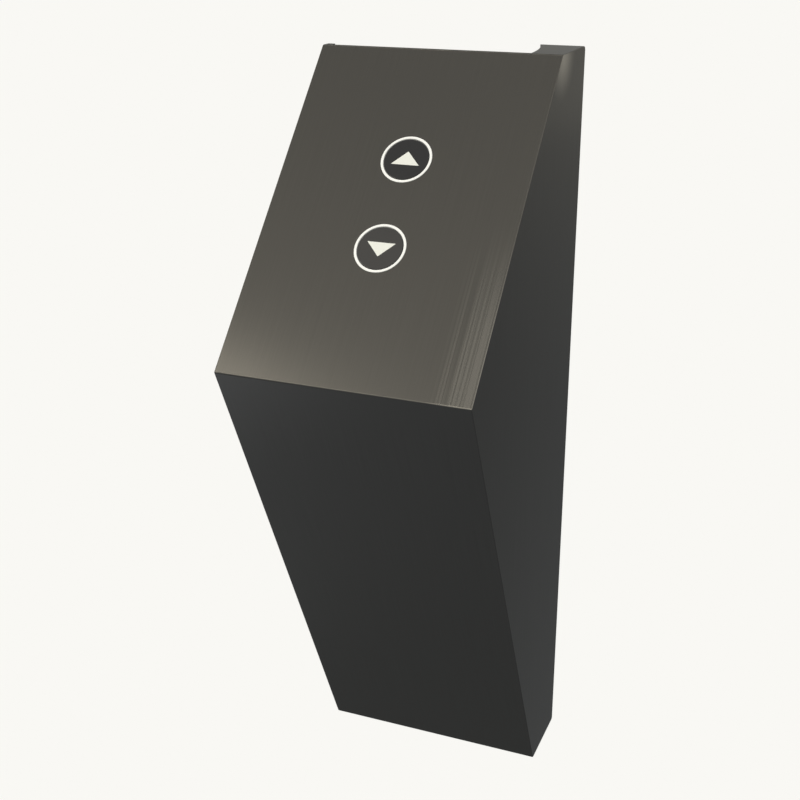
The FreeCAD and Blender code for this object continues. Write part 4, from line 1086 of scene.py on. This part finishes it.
HOOD_SCREW_DIAMETER = 4.0 * MM
HOOD_SCREW_PITCH = 0.7 * MM
HOOD_SCREW_LENGTH = 11.0 * MM
HEAD_RADIUS = 3.8 * MM
HEAD_HEIGHT = 2.2 * MM
HEAD_RIM = 0.5 * MM
DOME_REACH = 3.6 * MM
DOME_STEP = 7.0
DOME_STEPS = 8
SCREW_KEY = 2.5 * MM
SCREW_KEY_DEPTH = 1.4 * MM
HOOD_NUT_SIDE = 7.0 * MM
HOOD_NUT_EASE = 0.5 * MM

low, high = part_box("hood_screws")
head_y = (low.y + high.y) / 2
dome = [(0, 0), (HEAD_RADIUS, 0), (HEAD_RADIUS, HEAD_RIM)]
for i in range(1, DOME_STEPS + 1):
    angle = math.radians(i * DOME_STEP)
    rise = math.sin(angle) / math.sin(math.radians(DOME_STEPS * DOME_STEP))
    dome.append((HEAD_RADIUS - DOME_REACH * (1 - math.cos(angle)),
                 HEAD_RIM + (HEAD_HEIGHT - HEAD_RIM) * rise))
dome.append((0, HEAD_HEIGHT))
head = as_object("head", turned(dome, 48))
key = extruded(hexagon(SCREW_KEY), HEAD_HEIGHT - SCREW_KEY_DEPTH, HEAD_HEIGHT + MM)
combine(head, "DIFFERENCE", (key, None))
above = [at((x, head_y, bottom_z)) for x in SCREW_PLACES]
below = [place @ Matrix.Rotation(math.pi, 4, "X") for place in above]
copies_of(head, "hood_screw_heads", below, stainless, "stainless_fastener", "hood_screws")
repeated("hood_screw_shanks", thread_tree, above, {
    "Radius": HOOD_SCREW_DIAMETER / 2, "Pitch": HOOD_SCREW_PITCH, "Length": HOOD_SCREW_LENGTH,
    "Finish": stainless}, "stainless_fastener")

low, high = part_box("hood_nuts")
nut_height = high.z - low.z
seats = [at((x, head_y, low.z)) for x in SCREW_PLACES]
nut = brick(HOOD_NUT_SIDE, HOOD_NUT_SIDE, nut_height, HOOD_NUT_EASE)
hole = HOOD_SCREW_DIAMETER + 2 * THREAD_GAP
bored(nut, hole / 2, nut_height, SINK_SHARE * hole, STRAIGHT_FLARE, 36)
copies_of(nut, "hood_weld_nuts", seats, zinc, "zinc_fastener", "hood_nuts")
refined("hanger_pins", "cheek_pins", "stainless_fastener", stainless, 0.20 * MM)


# Cable grommet and earth terminal
# The building's cable comes through a black rubber grommet in the plate. An M5 brass stud beside it
# takes the protective earth.

GROMMET_BORE = 16.0 * MM
GROMMET_NECK = 20.0 * MM
GROMMET_SIDE = 26.0 * MM
GROMMET_CORNER = 2.0 * MM
GROMMET_LIP = 2.0 * MM
GROMMET_FLARE = 0.8 * MM
GROMMET_EASE = 0.3 * MM
ROUND_FLARE = ((1, 0), (0.24, 0.24), (0, 1))
EARTH_STUD = 5.0 * MM
EARTH_PITCH = 0.8 * MM
EARTH_NUT_KEY = 8.0 * MM

# Moulded rubber: black going grey where it has bloomed, soft in its shine.
rubber = clouded("moulded_rubber", "#171717", "#30302F", (140.0, 5.0, 0.65), (0.55, 0.78),
                 {"IOR": 1.52})
to_front = Matrix.Rotation(math.radians(90), 4, "X")
low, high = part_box("cable_grommet")
place = at(((low.x + high.x) / 2, high.y, (low.z + high.z) / 2)) @ to_front
length = high.y - low.y
square = oblong(GROMMET_SIDE, GROMMET_SIDE, GROMMET_CORNER, 6)
grommet = as_object("wall_grommet", extruded(square, 0, GROMMET_LIP), place)
lip = extruded(square, length - GROMMET_LIP, length)
neck = turned(disc(GROMMET_NECK / 2, GROMMET_LIP / 4, length - GROMMET_LIP / 4), 96)
combine(grommet, "UNION", (lip, place), (neck, place))
bored(grommet, GROMMET_BORE / 2, length, GROMMET_FLARE, ROUND_FLARE, 96, place)
coat(grommet, rubber)
eased(grommet, GROMMET_EASE, 50.0)
shade(grommet, 40.0)
fit(grommet, "station", "rubber", "cable_grommet")

brass = worked_metal("turned_brass", "#C9A45C", "#DDBB74", 0.28, 0.15 * MM)
low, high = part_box("earth_stud")
place = at(((low.x + high.x) / 2, high.y, (low.z + high.z) / 2)) @ to_front
repeated("earth_terminal_stud", thread_tree, [place], {
    "Radius": EARTH_STUD / 2, "Pitch": EARTH_PITCH, "Length": high.y - low.y, "Finish": brass},
    "brass", "earth_stud")
low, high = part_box("earth_nut")
nut = hexagon_nut(EARTH_NUT_KEY, EARTH_STUD + 2 * THREAD_GAP, high.y - low.y)
copies_of(nut, "earth_terminal_nut", [place], brass, "brass", "earth_nut")


# Controller board
# A green laminate on four barbed nylon posts: a processor and a bus driver, a relay, two film
# capacitors, small resistors, the leads' sockets, and a screw terminal for the building's cable.

# Each chip's centre, its case and the room it takes, its legs' pitch, and its sides with legs
CHIPS = (
    ((-16 * MM, -36 * MM), (14 * MM, 14 * MM), (17 * MM, 17 * MM), 0.8 * MM, (0, 1, 2, 3)),
    ((14 * MM, -24 * MM), (9 * MM, 7 * MM), (12 * MM, 11 * MM), 1.27 * MM, (1, 3)),
)
CHIP_END = 1.5 * MM
LEG_WIDTH = 0.35 * MM
# A leg from the side: out of the case, down, and along the board
LEG_LINE = ((-0.1, 0.45), (0.5, 0.45), (0.75, 0.0), (1.3, 0.0), (1.3, 0.15), (0.85, 0.15),
            (0.6, 0.60), (-0.1, 0.60))
POST_X = 44 * MM
POST_Z = (-94 * MM, 14 * MM)
POST_ROOM = 4 * MM
RESISTOR_LENGTH = 3.2 * MM
RESISTOR_WIDTH = 1.6 * MM
RESISTOR_HEIGHT = 0.55 * MM
RESISTOR_END = 0.5 * MM
RESISTOR_END_PROUD = 0.04 * MM
RESISTOR_EASE = 0.08 * MM
RESISTOR_STEP = 5.5 * MM
RESISTOR_ROOM = 3 * MM
TERMINAL_WAYS = 8
TERMINAL_PITCH = 5.0 * MM
TERMINAL_INSET = 1.5 * MM
TERMINAL_RISE = 7.5 * MM
TERMINAL_SCREW = 2.9 * MM
TERMINAL_HEAD = 1.0 * MM
TERMINAL_EDGE = (0.15 * MM, 0.2 * MM)
SLOT_LENGTH = 4.0 * MM
SLOT_WIDTH = 0.6 * MM
SLOT_DEPTH = 0.5 * MM

chip_case = moulded_plastic("moulded_epoxy_black", "#1E1E20", "#29292B", 0.50, 0.3 * MM)
tinned = worked_metal("tinned_copper", "#B4B4B0", "#CDCDC9", 0.32, 0.1 * MM)
green = moulded_plastic("moulded_polyamide_green", "#17693A", "#1E7A45", 0.42, 0.4 * MM)
blue = moulded_plastic("moulded_polyester_blue", "#1E4586", "#285296", 0.36, 0.4 * MM)
ochre = moulded_plastic("moulded_polyester_ochre", "#B98C28", "#C99A32", 0.38, 0.4 * MM)
refined("controller_board", "controller_laminate", "board_green",
        laminate("controller_laminate", to_front.to_euler()), BOARD_EASE)
refined("board_supports", "board_posts", "nylon", natural_nylon, 0.15 * MM)
refined("board_sockets", "board_lead_sockets", "nylon", natural_nylon, 0.15 * MM)
refined("cable_terminal", "cable_screw_terminal", "terminal_green", green, 0.15 * MM)
refined("board_relay", "call_relay", "relay_blue", blue, 0.45 * MM)
refined("board_capacitors", "film_capacitors", "capacitor_case", ochre, 0.40 * MM)
refined("board_chips", "processor_and_driver", "chip_black", chip_case, 0.15 * MM)

board_low, board_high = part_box("controller_board")
front = board_low.y
leg = extruded([(x * MM, y * MM) for x, y in LEG_LINE], -LEG_WIDTH / 2, LEG_WIDTH / 2)
leg = as_object("leg", leg, to_front)
legs = []
taken = []
for (chip_x, chip_z), case, (room_x, room_z), pitch, sides in CHIPS:
    taken.append((chip_x - room_x / 2, chip_x + room_x / 2, chip_z - room_z / 2,
                  chip_z + room_z / 2))
    for side in sides:
        reach = case[side % 2] / 2
        span = case[1 - side % 2]
        count = int((span - CHIP_END) / pitch) + 1
        turn = Matrix.Rotation(math.radians(90 * side), 4, "Y")
        for i in range(count):
            slide = (i - (count - 1) / 2) * pitch
            legs.append(at((chip_x, front, chip_z)) @ turn @ at((reach, 0, slide)))
copies_of(leg, "chip_legs", legs, tinned, "zinc_fastener")

for node in ("board_relay", "board_sockets", "cable_terminal", "board_capacitors"):
    low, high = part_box(node)
    taken.append((low.x, high.x, low.z, high.z))
for x in (-POST_X, POST_X):
    for z in POST_Z:
        taken.append((x - POST_ROOM, x + POST_ROOM, z - POST_ROOM, z + POST_ROOM))
spots = []
for row in range(1, int((board_high.z - board_low.z) / RESISTOR_STEP)):
    for column in range(1, int((board_high.x - board_low.x) / RESISTOR_STEP)):
        x = board_low.x + column * RESISTOR_STEP
        z = board_low.z + row * RESISTOR_STEP
        clear = all(x < a - RESISTOR_ROOM or x > b + RESISTOR_ROOM or z < c - RESISTOR_ROOM
                    or z > d + RESISTOR_ROOM for a, b, c, d in taken)
        if clear and (7 * row + 3 * column) % 5 < 2:
            turn = Matrix.Rotation(math.radians(90 * ((row + column) % 2)), 4, "Z")
            spots.append(at((x, front, z)) @ to_front @ turn)
case = brick(RESISTOR_LENGTH - 2 * RESISTOR_END, RESISTOR_WIDTH, RESISTOR_HEIGHT, RESISTOR_EASE)
copies_of(case, "board_resistors", spots, chip_case, "chip_black")
end_x = (RESISTOR_LENGTH - RESISTOR_END) / 2
ends = [spot @ at((x, 0, 0)) for spot in spots for x in (-end_x, end_x)]
end = brick(RESISTOR_END, RESISTOR_WIDTH, RESISTOR_HEIGHT + RESISTOR_END_PROUD, RESISTOR_EASE)
copies_of(end, "board_resistor_ends", ends, tinned, "zinc_fastener")

low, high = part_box("cable_terminal")
radius = TERMINAL_SCREW / 2
edge_in, edge_down = TERMINAL_EDGE
head = turned([(0, 0), (radius, 0), (radius, TERMINAL_HEAD - edge_down),
               (radius - edge_in, TERMINAL_HEAD), (0, TERMINAL_HEAD)], 32)
head = as_object("head", head)
slot = extruded(oblong(SLOT_LENGTH, SLOT_WIDTH, 0, 1), TERMINAL_HEAD - SLOT_DEPTH,
                TERMINAL_HEAD + MM)
combine(head, "DIFFERENCE", (slot, None))
spots = []
for i in range(TERMINAL_WAYS):
    x = (i + 0.5) * TERMINAL_PITCH + low.x
    place = at((x, low.y + TERMINAL_INSET, low.z + TERMINAL_RISE))
    spots.append(place @ to_front @ Matrix.Rotation(math.radians(37 * i), 4, "Z"))
copies_of(head, "terminal_screws", spots, zinc, "zinc_fastener")
